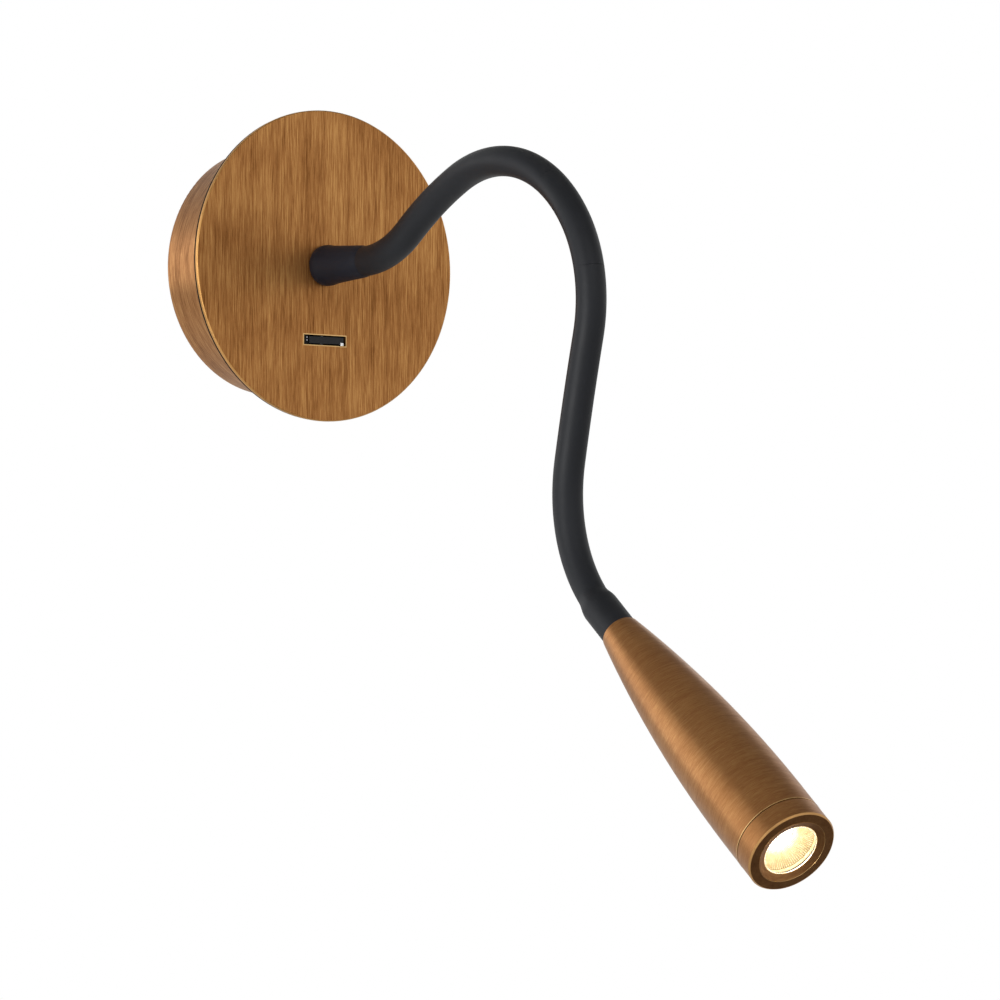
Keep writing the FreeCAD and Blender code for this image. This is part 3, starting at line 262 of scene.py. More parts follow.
GROUPS = {
    "lamp_sleeve": SleeveSettings,
    "lamp_lens": LensSettings,
    "lamp_brass": BrassSettings,
    "lamp_edges": EdgeSettings,
    "lamp_stage": StageSettings,
}


# ------------------------ nodes and materials

# A noise's finer layers, how many and how strong, for each kind of pattern.
STREAK_NOISE = {"Detail": 4.0, "Roughness": 0.8}
GRAIN_NOISE = {"Detail": 4.0, "Roughness": 0.6}
TOOTH_NOISE = {"Detail": 3.0, "Roughness": 0.6}
CLOUD_NOISE = {"Detail": 2.0, "Roughness": 0.5}

# The part of a noise's range where most of its values lie.
NOISE_SPAN = {"From Min": 0.3, "From Max": 0.7}
STREAK_SPAN = {"From Min": 0.35, "From Max": 0.65}
MIDDLE_SPREAD = (0.35, 0.65)

# The brushed brasses: name, a streak's size in millimetres along each axis, roughness, and how far
# the noise runs from its middle to the darkest and the brightest brass. The plate is brushed
# upright, and the cup and the head round their own axes. Real scratches are under 0.1 mm wide and
# are drawn wider, so that they show.
BRUSHED = {
    "plate": ("straight_brushed_antique_brass", (0.36, 4, 12), 0.5, 0.115),
    "cup": ("round_brushed_antique_brass", (9, 0.34, 9), 0.34, 0.13),
    "head": ("round_brushed_antique_brass_head", (4, 4, 0.26), 0.36, 0.26),
}
UNTURNED = ((0, 0, 0), (0, 0, 0))
BAND_SCALE = 0.14
BAND_SHARE = 0.22
PATINA_SIZE = 28.0
PATINA_SHARE = 0.18
BRASS_ANISOTROPY = 0.45
ROUGHNESS_SWING = 0.06

# Silicone: sizes of its tooth, drawn coarser than it is so that it shows, and of its cloudy tint, in
# millimetres, and how dark the tint gets.
TOOTH_SIZE = 0.3
CLOUD_SIZE = 14.0
CLOUD_DARK = 0.82
SILICONE_ROUGHNESS = {"To Min": 0.46, "To Max": 0.56}

# Glowing surfaces: how strongly they glow and the size of their mottle in millimetres. The lens's edge
# ribs, the optic's wall and its flutes glow by painted light, emission that stands for the LED's light
# caught in them; the phosphor is the lit LED itself.
LENS_EDGE_PAINTED_GLOW = 0.95
FLUTE_PAINTED_GLOW = 0.66
OPTIC_MOTTLE = 1.2
PHOSPHOR_MOTTLE = 1.5

# Bumps: how strongly and how deep a pattern shows.
SCRATCH_BUMP = {"Strength": 0.35, "Distance": 0.04 * MM}
TOOTH_BUMP = {"Strength": 0.25, "Distance": 0.01 * MM}
GRAIN_BUMP_STRENGTH = 0.5


def add_node(tree, kind, inputs=None, stops=(), **settings):
    """Adds a node: settings are its properties, inputs gives each socket a value or a link, and
    stops gives a ramp its (position, colour) pairs."""
    node = tree.nodes.new(kind)
    for name, value in settings.items():
        setattr(node, name, value)
    for key, value in (inputs or {}).items():
        if isinstance(value, bpy.types.NodeSocket):
            tree.links.new(value, node.inputs[key])
        else:
            node.inputs[key].default_value = value
    if stops:
        elements = node.color_ramp.elements
        while len(elements) < len(stops):
            elements.new(1.0)
        for element, (position, colour) in zip(elements, stops):
            element.position = position
            element.color = colour
    return node


def new_material(name, **constants):
    """A material with its shader and object coordinates; constants are set on the shader's sockets."""
    material = bpy.data.materials.new(name)
    material.use_nodes = True
    tree = material.node_tree
    tree.nodes.clear()
    shader = add_node(tree, "ShaderNodeBsdfPrincipled", {
        key.replace("_", " "): value for key, value in constants.items()})
    add_node(tree, "ShaderNodeOutputMaterial", {"Surface": shader.outputs["BSDF"]})
    coordinates = add_node(tree, "ShaderNodeTexCoord").outputs["Object"]
    return material, tree, shader, coordinates


def feed(tree, shader, outputs):
    """Links each output to the shader's socket of that name."""
    for socket, output in outputs.items():
        tree.links.new(output, shader.inputs[socket])


def even_stops(colours, spread):
    """The colours at equal steps of a noise, from the spread's low end to its high one."""
    low, high = spread
    step = (high - low) / (len(colours) - 1)
    return [(low + step * index, colour) for index, colour in enumerate(colours)]


def aged(brass):
    """The grain's dark, middle and bright colours under the older, greyer patina."""
    return [tuple(part * share for part, share in zip(colour, brass.age))
            for colour in (brass.dark, brass.middle, brass.bright)]


def brushed_brass(kind, colours, place=UNTURNED):
    """Antique brass, brushed; place centres and turns the streaks on the piece.

    Brushing leaves fine parallel scratches with brown patina between them, so the colour runs
    from brown to gold across the streaks, and the highlight spreads.
    """
    name, streak, roughness, spread = BRUSHED[kind]
    material, tree, shader, coordinates = new_material(
        name, Metallic=1.0, Anisotropic=BRASS_ANISOTROPY)
    origin, turn = place
    streaked = add_node(tree, "ShaderNodeMapping", {
        "Vector": coordinates, "Location": origin, "Rotation": turn,
        "Scale": [size * MM for size in streak]}, vector_type="TEXTURE").outputs["Vector"]
    fine = add_node(tree, "ShaderNodeTexNoise", {"Vector": streaked, "Scale": 1.0, **STREAK_NOISE})
    bands = add_node(tree, "ShaderNodeTexNoise", {
        "Vector": streaked, "Scale": BAND_SCALE, **CLOUD_NOISE})
    patina = add_node(tree, "ShaderNodeTexNoise", {
        "Vector": coordinates, "Scale": 1 / (PATINA_SIZE * MM), **CLOUD_NOISE})
    streaks = add_node(tree, "ShaderNodeMix", {
        "Factor": BAND_SHARE, 2: fine.outputs["Fac"], 3: bands.outputs["Fac"]}).outputs[0]
    cloudy = add_node(tree, "ShaderNodeMix", {
        "Factor": PATINA_SHARE, 2: streaks, 3: patina.outputs["Fac"]}).outputs[0]
    colour = add_node(tree, "ShaderNodeValToRGB", {"Fac": cloudy}, even_stops(
        [(*colour, 1) for colour in colours], (0.5 - spread, 0.5 + spread)))
    rough = add_node(tree, "ShaderNodeMapRange", {
        "Value": streaks, **STREAK_SPAN,
        "To Min": roughness + ROUGHNESS_SWING, "To Max": roughness - ROUGHNESS_SWING})
    # scratches are a few micrometres deep; drawn about ten times deeper, so that they show
    bump = add_node(tree, "ShaderNodeBump", {"Height": streaks, **SCRATCH_BUMP})
    feed(tree, shader, {
        "Base Color": colour.outputs["Color"], "Roughness": rough.outputs["Result"],
        "Normal": bump.outputs["Normal"]})
    return material


def grained(name, colours, size, rough, bump_height=0.0, spread=(0.0, 1.0), **constants):
    """A finish whose colour and roughness vary with a noise of a real size in millimetres."""
    material, tree, shader, coordinates = new_material(name, **constants)
    noise = add_node(tree, "ShaderNodeTexNoise", {
        "Vector": coordinates, "Scale": 1 / (size * MM), **GRAIN_NOISE}).outputs["Fac"]
    colour = add_node(tree, "ShaderNodeValToRGB", {"Fac": noise}, even_stops(
        [opaque(code) for code in colours], spread))
    level = add_node(tree, "ShaderNodeMapRange", {
        "Value": noise, **NOISE_SPAN, "To Min": rough[0], "To Max": rough[1]})
    feed(tree, shader, {"Base Color": colour.outputs["Color"], "Roughness": level.outputs["Result"]})
    if bump_height:
        bump = add_node(tree, "ShaderNodeBump", {
            "Height": noise, "Strength": GRAIN_BUMP_STRENGTH, "Distance": bump_height * MM})
        feed(tree, shader, {"Normal": bump.outputs["Normal"]})
    return material


# Finishes of the parts that aren't brass, sleeve or lens, by the record's slot: name, colours, the
# pattern's size in millimetres, coarser than the real one where that is too fine to show, and the rest.
FINISHES = {
    # powder-coated mild steel: an even, slightly pebbled satin black
    "black_steel": ("powder_coated_steel", ("141414", "1e1e1f"), 0.4, {
        "bump_height": 0.02, "rough": (0.5, 0.62), "IOR": 1.5}),
    # moulded acetal: near black, with a fine spark-eroded texture and a low sheen
    "switch_plastic": ("moulded_acetal", ("0f0f11", "171719"), 0.25, {
        "bump_height": 0.012, "rough": (0.38, 0.5), "IOR": 1.36}),
    # blue-passivated zinc on steel: cloudy pale grey
    "zinc_steel": ("passivated_zinc_plate", ("8f959c", "b9bec4"), 1.5, {
        "rough": (0.28, 0.42), "Metallic": 1.0}),
    # drawn spring-steel strip: bright, with a slight grain
    "spring_steel": ("drawn_spring_steel", ("6d7176", "9a9ea3"), 0.8, {
        "rough": (0.25, 0.38), "Metallic": 1.0, "bump_height": 0.02}),
    # moulded polycarbonate driver case: opaque white with a faint grain
    "white_plastic": ("moulded_polycarbonate", ("dcdcd8", "ececea"), 0.6, {
        "bump_height": 0.008, "rough": (0.4, 0.5), "IOR": 1.58}),
    # closed-cell foam tape: pale, open grain and no gloss
    "foam": ("closed_cell_foam", ("b9b9b2", "d6d6d0"), 0.7, {
        "bump_height": 0.12, "rough": (0.85, 0.95), "IOR": 1.4}),
    # glass-epoxy laminate under green solder resist: glossy, with darker patches
    "circuit_board": ("solder_resist_laminate", ("0e3a1d", "1b5a30"), 1.2, {
        "rough": (0.22, 0.35), "IOR": 1.55}),
    # moulded nylon terminal block: milky, slightly waxy
    "block_plastic": ("moulded_nylon", ("cfcfc6", "e2e2dc"), 0.9, {
        "bump_height": 0.01, "rough": (0.42, 0.55), "IOR": 1.53}),
    # free-cutting brass, turned: yellow and bright, with an uneven gloss
    "brass_screw": ("turned_brass", ("b08d45", "d2b266"), 0.4, {
        "rough": (0.22, 0.34), "Metallic": 1.0}),
    # stamped copper blade: dull, warm metal
    "copper_blade": ("stamped_copper", ("a56b45", "c48a60"), 0.7, {
        "rough": (0.3, 0.42), "Metallic": 1.0}),
    # extruded PVC insulation: smooth, a soft gloss
    "blue_wire": ("blue_pvc", ("1d4c9a", "2a63b8"), 1.2, {"rough": (0.35, 0.45), "IOR": 1.53}),
    "brown_wire": ("brown_pvc", ("4a2a18", "5e3822"), 1.2, {"rough": (0.35, 0.45), "IOR": 1.53}),
    # the earth lead shows its two colours in patches along the wire
    "green_yellow_wire": ("green_yellow_pvc", ("2f8a3a", "2f8a3a", "d8c832", "d8c832"), 2.4, {
        "spread": (0.46, 0.54), "rough": (0.35, 0.45), "IOR": 1.53}),
    # extruded rubbery sheath of the low-voltage cable: matt pale grey
    "cable_sheath": ("pvc_sheath", ("bdbdbb", "cfcfcd"), 1.4, {"rough": (0.5, 0.6), "IOR": 1.5}),
    # turned aluminium: pale grey, with a fine uneven gloss
    "aluminium": ("turned_aluminium", ("a9acaf", "cfd1d3"), 0.35, {
        "rough": (0.28, 0.4), "Metallic": 1.0}),
    # bright nickel plate: warm grey mirror, slightly hazed
    "nickel": ("bright_nickel_plate", ("a8a49b", "c2beb4"), 1.8, {
        "rough": (0.16, 0.26), "Metallic": 1.0}),
}


# Finishes of the scene's own pieces and of the lens, by name, laid out in the same way.
TRIMS = {
    # cast acrylic, polished: clear and water-white
    "polished_acrylic": (("f6f4ee", "fffdf8"), 3.0, {
        "rough": (0.02, 0.06), "IOR": 1.49, "Transmission_Weight": 1.0}),
    # painted highlights: bright brass on the edges of slot, joint, bezel and plate stands for the light
    # their chamfers catch, palest at the slot and joint
    "burnished_brass_edge": (("c79a5e", "e6c188"), 2.5, {"rough": (0.26, 0.36), "Metallic": 1.0}),
    "golden_brass_edge": (("b17f45", "cf9f62"), 2.5, {"rough": (0.3, 0.4), "Metallic": 1.0}),
    "worn_brass_edge": (("9f7644", "bf9360"), 2.5, {"rough": (0.3, 0.4), "Metallic": 1.0}),
    # painted shade: a matt black ring behind the plate's rim, with no gloss, draws the dark line of
    # shade in the gap there
    "black_closed_cell_foam": (("050505", "0b0b0b"), 0.6, {
        "bump_height": 0.05, "rough": (0.85, 0.95), "IOR": 1.3}),
    # smooth moulded acetal: black with a weak gloss, made near black so that the end block also stands
    # for the shade in the slot's recess, a painted shade; and a pale grey that stands out against it
    "gloss_black_acetal": (("060607", "0a0a0b"), 0.4, {"rough": (0.3, 0.42), "IOR": 1.2}),
    "pale_acetal_pin": (("8d8b93", "b3b0b8"), 0.3, {"rough": (0.35, 0.45), "IOR": 1.48}),
    # white enamel fill: a clean, slightly glossy white
    "white_enamel_mark": (("f1f1ef", "ffffff"), 0.5, {"rough": (0.25, 0.35), "IOR": 1.5}),
    # matt painted board: a pale, even floor
    "pale_matt_floor": (("ececea", "f4f4f2"), 40, {"rough": (0.7, 0.8)}),
    # woven cloths: matt greys that the metal mirrors
    "canopy_cloth": (("b6b4b0", "c2c0bc"), 30, {"rough": (0.9, 1.0)}),
    "apron_cloth": (("706e6b", "7e7b78"), 30, {"rough": (0.9, 1.0)}),
}


def trim(name):
    """One of the scene's own finishes."""
    colours, size, extra = TRIMS[name]
    return grained(name, colours, size, **extra)


def silicone(name, colour):
    """Silicone rubber, matt blue-black: a low soft gloss over a very fine tooth."""
    dark = tuple(part * CLOUD_DARK for part in colour)
    material, tree, shader, coordinates = new_material(name, IOR=1.33)
    tooth = add_node(tree, "ShaderNodeTexNoise", {
        "Vector": coordinates, "Scale": 1 / (TOOTH_SIZE * MM), **TOOTH_NOISE})
    cloud = add_node(tree, "ShaderNodeTexNoise", {
        "Vector": coordinates, "Scale": 1 / (CLOUD_SIZE * MM), **CLOUD_NOISE}).outputs["Fac"]
    tint = add_node(tree, "ShaderNodeValToRGB", {"Fac": cloud}, even_stops(
        [(*dark, 1), (*colour, 1)], MIDDLE_SPREAD))
    rough = add_node(tree, "ShaderNodeMapRange", {"Value": cloud, **NOISE_SPAN, **SILICONE_ROUGHNESS})
    bump = add_node(tree, "ShaderNodeBump", {"Height": tooth.outputs["Fac"], **TOOTH_BUMP})
    feed(tree, shader, {
        "Base Color": tint.outputs["Color"], "Roughness": rough.outputs["Result"],
        "Normal": bump.outputs["Normal"]})
    return material


def glowing(name, colours, strength, size, **constants):
    """A glowing surface: its emission varies with a noise of a real size in millimetres. It makes the
    lit LED's phosphor, and the painted glow of the lens's edge ribs and the optic's wall and flutes.
    """
    material, tree, shader, coordinates = new_material(name, Emission_Strength=strength, **constants)
    noise = add_node(tree, "ShaderNodeTexNoise", {
        "Vector": coordinates, "Scale": 1 / (size * MM), **CLOUD_NOISE})
    colour = add_node(tree, "ShaderNodeValToRGB", {"Fac": noise.outputs["Fac"]}, even_stops(
        colours, MIDDLE_SPREAD)).outputs["Color"]
    feed(tree, shader, {"Base Color": colour, "Emission Color": colour})
    return material


def painted_glow_cone(lens):
    """The vapour-coated cone with the LED on, lit by painted glow: its emission stands for the LED's
    light that it reflects, warm white at its foot, dim gold towards the lens.
    """
    material, tree, shader, coordinates = new_material(
        "lit_vapour_coated_reflector", Roughness=0.25, Emission_Strength=lens.cone_painted_glow)
    neck, turn = HEAD_PLACE
    local = add_node(tree, "ShaderNodeMapping", {
        "Vector": coordinates, "Location": neck, "Rotation": turn}, vector_type="TEXTURE")
    parts = add_node(tree, "ShaderNodeSeparateXYZ", {"Vector": local.outputs["Vector"]})
    depth = add_node(tree, "ShaderNodeMapRange", {
        "Value": parts.outputs["Z"],
        "From Min": REFLECTOR_BACK * MM, "From Max": REFLECTOR_FRONT * MM})
    colour = add_node(tree, "ShaderNodeValToRGB", {"Fac": depth.outputs["Result"]}, (
        (0.0, opaque("fff9ed")), (0.3, opaque("bcac89")), (1.0, opaque("7c6a45")))).outputs["Color"]
    feed(tree, shader, {"Base Color": colour, "Emission Color": colour})
    return material


def shown_plainly(tree):
    """One where the camera, metal or glass looks, and nought for the rest of the light."""
    path = add_node(tree, "ShaderNodeLightPath")
    shown = path.outputs["Is Camera Ray"]
    for ray in ("Is Glossy Ray", "Is Transmission Ray"):
        shown = add_node(tree, "ShaderNodeMath", {
            0: shown, 1: path.outputs[ray]}, operation="MAXIMUM").outputs[0]
    return shown


def pale_floor(lift):
    """The floor's board; the eye, metal and glass see it a little lighter than it lights the lamp."""
    material = trim("pale_matt_floor")
    tree = material.node_tree
    shader = next(node for node in tree.nodes if node.type == "BSDF_PRINCIPLED")
    shader.inputs["Emission Color"].default_value = WHITE
    level = add_node(tree, "ShaderNodeMath", {0: shown_plainly(tree), 1: lift}, operation="MULTIPLY")
    feed(tree, shader, {"Emission Strength": level.outputs[0]})
    return material


# ------------------------ geometry

def arm_direction(rise):
    """Direction of the centreline where it rises by an angle above the level way out of the wall."""
    return Vector((0, -math.cos(rise), math.sin(rise)))


def arm_side(rise):
    """Direction square to the centreline, in its plane and on its upper side."""
    return Vector((0, math.sin(rise), math.cos(rise)))


def arm_place(distance):
    """Point, in metres, and rise of the centreline at a distance in millimetres from the plate."""
    point = Vector((0, -PLATE_FRONT, 0))
    rise = 0.0
    for length, degrees in ARM_SPANS:
        step = min(length, distance)
        turn = math.radians(degrees)
        share = turn * step / length
        if turn:
            point = point + (arm_side(rise) - arm_side(rise + share)) * (length / turn)
        else:
            point = point + arm_direction(rise) * step
        rise += share
        distance -= step
        if distance <= 0:
            break
    return point * MM, rise


def head_matrix():
    """Frame of the head: origin at the neck, Z along the head to the lens, X to the right."""
    neck, rise = arm_place(ARM_END)
    along = arm_direction(rise)
    right = Vector((1, 0, 0))
    matrix = Matrix((right, along.cross(right), along)).transposed().to_4x4()
    matrix.translation = neck
    return matrix


HEAD = head_matrix()
HEAD_PLACE = (HEAD.translation, (HEAD.to_euler().x, 0, 0))

# Turns Z out of the wall, for what is turned about the plate's axis.
OUT_OF_WALL = Matrix.Rotation(math.radians(90), 4, "X")


def link_object(name, data):
    """Puts data in the scene as an object at the origin."""
    piece = bpy.data.objects.new(name, data)
    bpy.context.scene.collection.objects.link(piece)
    return piece


def arm_curve():
    """The centreline as a Bezier curve: a handle of 4/3 tan(turn / 4) radii makes a bend's arc."""
    curve = bpy.data.curves.new("arm_centreline", "CURVE")
    curve.dimensions = "3D"
    curve.resolution_u = CURVE_STEPS
    spline = curve.splines.new("BEZIER")
    spline.bezier_points.add(len(ARM_SPANS))
    station = 0.0
    reach_before = 0.0
    for index, point in enumerate(spline.bezier_points):
        place, rise = arm_place(station)
        length, degrees = ARM_SPANS[index] if index < len(ARM_SPANS) else (0.0, 0.0)
        turn = math.radians(degrees)
        reach = length / turn * math.tan(turn / 4) * 4 / 3 if turn else length / 3
        point.co = place
        point.handle_left = place - arm_direction(rise) * reach_before * MM
        point.handle_right = place + arm_direction(rise) * reach * MM
        station += length
        reach_before = reach
    return link_object("arm_centreline", curve)


def node_group(name, sockets):
    """A geometry group with a geometry input and output, and an input of each name and kind."""
    group = bpy.data.node_groups.new(name, "GeometryNodeTree")
    group.interface.new_socket("Geometry", in_out="INPUT", socket_type="NodeSocketGeometry")
    group.interface.new_socket("Geometry", in_out="OUTPUT", socket_type="NodeSocketGeometry")
    for label, kind in sockets.items():
        group.interface.new_socket(label, in_out="INPUT", socket_type="NodeSocket" + kind)
    return group, add_node(group, "NodeGroupInput").outputs


def end_group(group, geometry, material):
    """Closes a tree: instances made real, then the material."""
    real = add_node(group, "GeometryNodeRealizeInstances", {"Geometry": geometry})
    done = add_node(group, "GeometryNodeSetMaterial", {
        "Geometry": real.outputs["Geometry"], "Material": material})
    add_node(group, "NodeGroupOutput", {"Geometry": done.outputs["Geometry"]})


def grown(source, group, values, name, modifiers=()):
    """The source's geometry after a tree with these input values, as a plain mesh object."""
    modifier = source.modifiers.new(group.name, "NODES")
    modifier.node_group = group
    for item in group.interface.items_tree:
        if item.in_out == "INPUT" and item.name in values:
            modifier[item.identifier] = values[item.name]
    for kind, settings in modifiers:
        extra = source.modifiers.new(kind.lower(), kind)
        for key, value in settings.items():
            setattr(extra, key, value)
    depsgraph = bpy.context.evaluated_depsgraph_get()
    mesh = bpy.data.meshes.new_from_object(source.evaluated_get(depsgraph), depsgraph=depsgraph)
    source.modifiers.clear()
    mesh.name = name
    return link_object(name, mesh)


def smooth(mesh, degrees=SHARP_ANGLE):
    """Smooth faces with sharp edges where they meet at more than an angle."""
    for polygon in mesh.polygons:
        polygon.use_smooth = True
    mesh.set_sharp_from_angle(angle=math.radians(degrees))


def bridge(work, rings):
    """Faces between each ring of corners and the next, and from the last back to the first."""
    for first, second in zip(rings, rings[1:] + rings[:1]):
        for index, corner in enumerate(first):
            after = (index + 1) % len(first)
            work.faces.new((corner, first[after], second[after], second[index]))


def finished_mesh(name, work):
    """A mesh from a working one, its doubles merged and every face turned outwards."""
    bmesh.ops.remove_doubles(work, verts=work.verts, dist=MERGE_DISTANCE * MM)
    bmesh.ops.recalc_face_normals(work, faces=work.faces)
    mesh = bpy.data.meshes.new(name)
    work.to_mesh(mesh)
    work.free()
    return mesh


def turned_mesh(name, profile, sides=TURNED_SIDES, place=HEAD):
    """A mesh turned about an axis, the head's by default, from (radius, station) corners."""
    work = bmesh.new()
    rings = []
    for radius, station in profile:
        ring = []
        for index in range(sides):
            angle = math.tau * index / sides
            across = Vector((radius * math.cos(angle), radius * math.sin(angle), station)) * MM
            ring.append(work.verts.new(place @ across))
        rings.append(ring)
    bridge(work, rings)
    return finished_mesh(name, work)


def square_mesh(name, middle, half, facing):
    """A flat square that faces up for 1 and down for -1."""
    across, along, height = middle
    corners = ((-1, -1), (facing, -facing), (1, 1), (-facing, facing))
    mesh = bpy.data.meshes.new(name)
    mesh.from_pydata(
        [(across + half * right, along + half * back, height) for right, back in corners],
        [], [range(len(corners))])
    return mesh


def add_piece(mesh, material, body, replaced=None, degrees=SHARP_ANGLE):
    """Adds a mesh of the lamp, named as its mesh is, in its material and riding on its body."""
    piece = link_object(mesh.name, mesh)
    smooth(mesh, degrees)
    mesh.materials.append(material)
    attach(piece, body)
    if replaced:
        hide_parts(replaced)


def sleeve_group():
    """A round sleeve along a stretch of a curve; it swells to the cuff's radius over the ramp."""
    group, given = node_group("sleeve_along_curve", {
        "Start": "Float", "End": "Float", "Radius": "Float", "Cuff radius": "Float",
        "Ramp start": "Float", "Ramp end": "Float", "Ring spacing": "Float", "Sides": "Int",
        "Material": "Material"})
    whole = add_node(group, "GeometryNodeResampleCurve", {
        "Curve": given["Geometry"], "Length": SWEEP_STEP * MM}, mode="LENGTH")
    station = add_node(group, "GeometryNodeSplineParameter")
    swell = add_node(group, "ShaderNodeMapRange", {
        "Value": station.outputs["Length"],
        "From Min": given["Ramp start"], "From Max": given["Ramp end"],
        "To Min": given["Radius"], "To Max": given["Cuff radius"]}, interpolation_type="SMOOTHSTEP")
    sized = add_node(group, "GeometryNodeSetCurveRadius", {
        "Curve": whole.outputs["Curve"], "Radius": swell.outputs["Result"]})
    trimmed = add_node(group, "GeometryNodeTrimCurve", {
        "Curve": sized.outputs["Curve"], 4: given["Start"], 5: given["End"]}, mode="LENGTH")
    spaced = add_node(group, "GeometryNodeResampleCurve", {
        "Curve": trimmed.outputs["Curve"], "Length": given["Ring spacing"]}, mode="LENGTH")
    ring = add_node(group, "GeometryNodeCurvePrimitiveCircle", {
        "Resolution": given["Sides"], "Radius": 1.0})
    radius = add_node(group, "GeometryNodeInputRadius")
    swept = add_node(group, "GeometryNodeCurveToMesh", {
        "Curve": spaced.outputs["Curve"], "Profile Curve": ring.outputs["Curve"],
        "Scale": radius.outputs["Radius"]})
    end_group(group, swept.outputs["Mesh"], given["Material"])
    return group


def ribs_group():
    """Tapered ribs in a ring round Z, each from an inner point to an outer one."""
    group, given = node_group("ribs_round_axis", {
        "Count": "Int", "Inner": "Vector", "Outer": "Vector", "Inner radius": "Float",
        "Outer radius": "Float", "Material": "Material"})
    line = add_node(group, "GeometryNodeCurvePrimitiveLine", {
        "Start": given["Inner"], "End": given["Outer"]})
    along = add_node(group, "GeometryNodeSplineParameter")
    taper = add_node(group, "ShaderNodeMapRange", {
        "Value": along.outputs["Factor"],
        "To Min": given["Inner radius"], "To Max": given["Outer radius"]})
    ring = add_node(group, "GeometryNodeCurvePrimitiveCircle", {"Resolution": RIB_SIDES, "Radius": 1.0})
    rib = add_node(group, "GeometryNodeCurveToMesh", {
        "Curve": line.outputs["Curve"], "Profile Curve": ring.outputs["Curve"],
        "Scale": taper.outputs["Result"], "Fill Caps": True})
    points = add_node(group, "GeometryNodePoints", {"Count": given["Count"]})
    index = add_node(group, "GeometryNodeInputIndex")
    part = add_node(group, "ShaderNodeMath", {
        0: index.outputs[0], 1: given["Count"]}, operation="DIVIDE")
    angle = add_node(group, "ShaderNodeMath", {0: part.outputs[0], 1: math.tau}, operation="MULTIPLY")
    turn = add_node(group, "ShaderNodeCombineXYZ", {"Z": angle.outputs[0]})
    ribs = add_node(group, "GeometryNodeInstanceOnPoints", {
        "Points": points.outputs[0], "Instance": rib.outputs["Mesh"],
        "Rotation": turn.outputs["Vector"]})
    end_group(group, ribs.outputs["Instances"], given["Material"])
    return group


# ------------------------ operators

class LAMP_OT_finishes(bpy.types.Operator):
    """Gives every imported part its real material"""

    bl_idname = "lamp.finishes"
    bl_label = "Finish the packed parts"

    def execute(self, context):
        brass = context.scene.lamp_brass
        lens = context.scene.lamp_lens
        materials = {
            "plate": brushed_brass("plate", (brass.dark, brass.middle, brass.bright)),
            "cup": brushed_brass("cup", aged(brass)),
            # the boot's blue tint is painted light against the warm brass it reflects
            "black_rubber": silicone("moulded_silicone", context.scene.lamp_sleeve.boot_colour),
            "clear_lens": trim("polished_acrylic"),
            # the reflector's cone glows by painted light, emission standing for the LED's light it
            # reflects
            "mirror_metal": painted_glow_cone(lens),
            # phosphor over the LED chips, lit: white with a warm mottle
            "phosphor": glowing(
                "lit_phosphor", ((*lens.warm, 1), WHITE), lens.glow, PHOSPHOR_MOTTLE,
                Roughness=0.6),
        }
        for slot, (name, colours, size, extra) in FINISHES.items():
            materials[slot] = grained(name, colours, size, **extra)
        head_brass = brushed_brass("head", aged(brass), HEAD_PLACE)
        for part in frame["record"]["subparts"]:
            node = frame["nodes"][part["node"]]
            material = materials[part["material_slot"]]
            if part["node"] in ("head_shell", "head_bezel"):
                material = head_brass
            for slot in node.material_slots:
                slot.material = material
        return {"FINISHED"}


class LAMP_OT_sleeve(bpy.types.Operator):
    """Makes the gooseneck's silicone sleeve, one stretch round each hinge, and its cuff"""

    bl_idname = "lamp.sleeve"
    bl_label = "Make the sleeve"

    def execute(self, context):
        settings = context.scene.lamp_sleeve
        material = silicone("extruded_silicone", settings.colour)
        group = sleeve_group()
        curve = arm_curve()
        values = {
            "Radius": settings.diameter / 2, "Cuff radius": settings.cuff_diameter / 2,
            "Ramp start": RAMP_START * MM, "Ramp end": RAMP_END * MM,
            "Ring spacing": settings.ring_spacing, "Sides": settings.sides, "Material": material}
        wall = ("SOLIDIFY", {"thickness": settings.wall, "offset": -1.0, "use_even_offset": True})
        middles = [FIRST_PIVOT + PIVOT_SPACING * index for index in range(len(ARM_BODIES) - 1)]
        for index, middle in enumerate(middles):
            start = SLEEVE_START if index == 0 else middle - PIVOT_SPACING / 2
            end = RAMP_START if index == len(middles) - 1 else middle + PIVOT_SPACING / 2
            values.update({"Start": start * MM, "End": end * MM})
            piece = grown(curve, group, values, f"arm_sleeve_{index + 1}", (wall,))
            smooth(piece.data)
            first = arm_place(middle - PIVOT_SPACING / 2 + BLEND_INSET)[0]
            last = arm_place(middle + PIVOT_SPACING / 2 - BLEND_INSET)[0]
            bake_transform(piece)
            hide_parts("sleeve_root" if index == 0 else f"sleeve_{index}")
        values.update({"Start": RAMP_START * MM, "End": ARM_END * MM})
        cuff = grown(curve, group, values, "arm_cuff", (wall,))
        smooth(cuff.data)
        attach(cuff, "head")
        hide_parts("sleeve_head")
        bpy.data.objects.remove(curve)
        return {"FINISHED"}


class LAMP_OT_boot(bpy.types.Operator):
    """Makes the moulded boot that holds the sleeve's root against the plate"""

    bl_idname = "lamp.boot"
    bl_label = "Make the root boot"

    def execute(self, context):
        at_plate = Matrix.Translation((0, -PLATE_FRONT * MM, 0)) @ OUT_OF_WALL
        mesh = turned_mesh("root_boot", BOOT_OUTLINE, place=at_plate)
        material = frame["nodes"]["root_collar"].material_slots[0].material
        add_piece(mesh, material, "wall_unit", "root_collar", BOOT_SHARP_ANGLE)
        return {"FINISHED"}


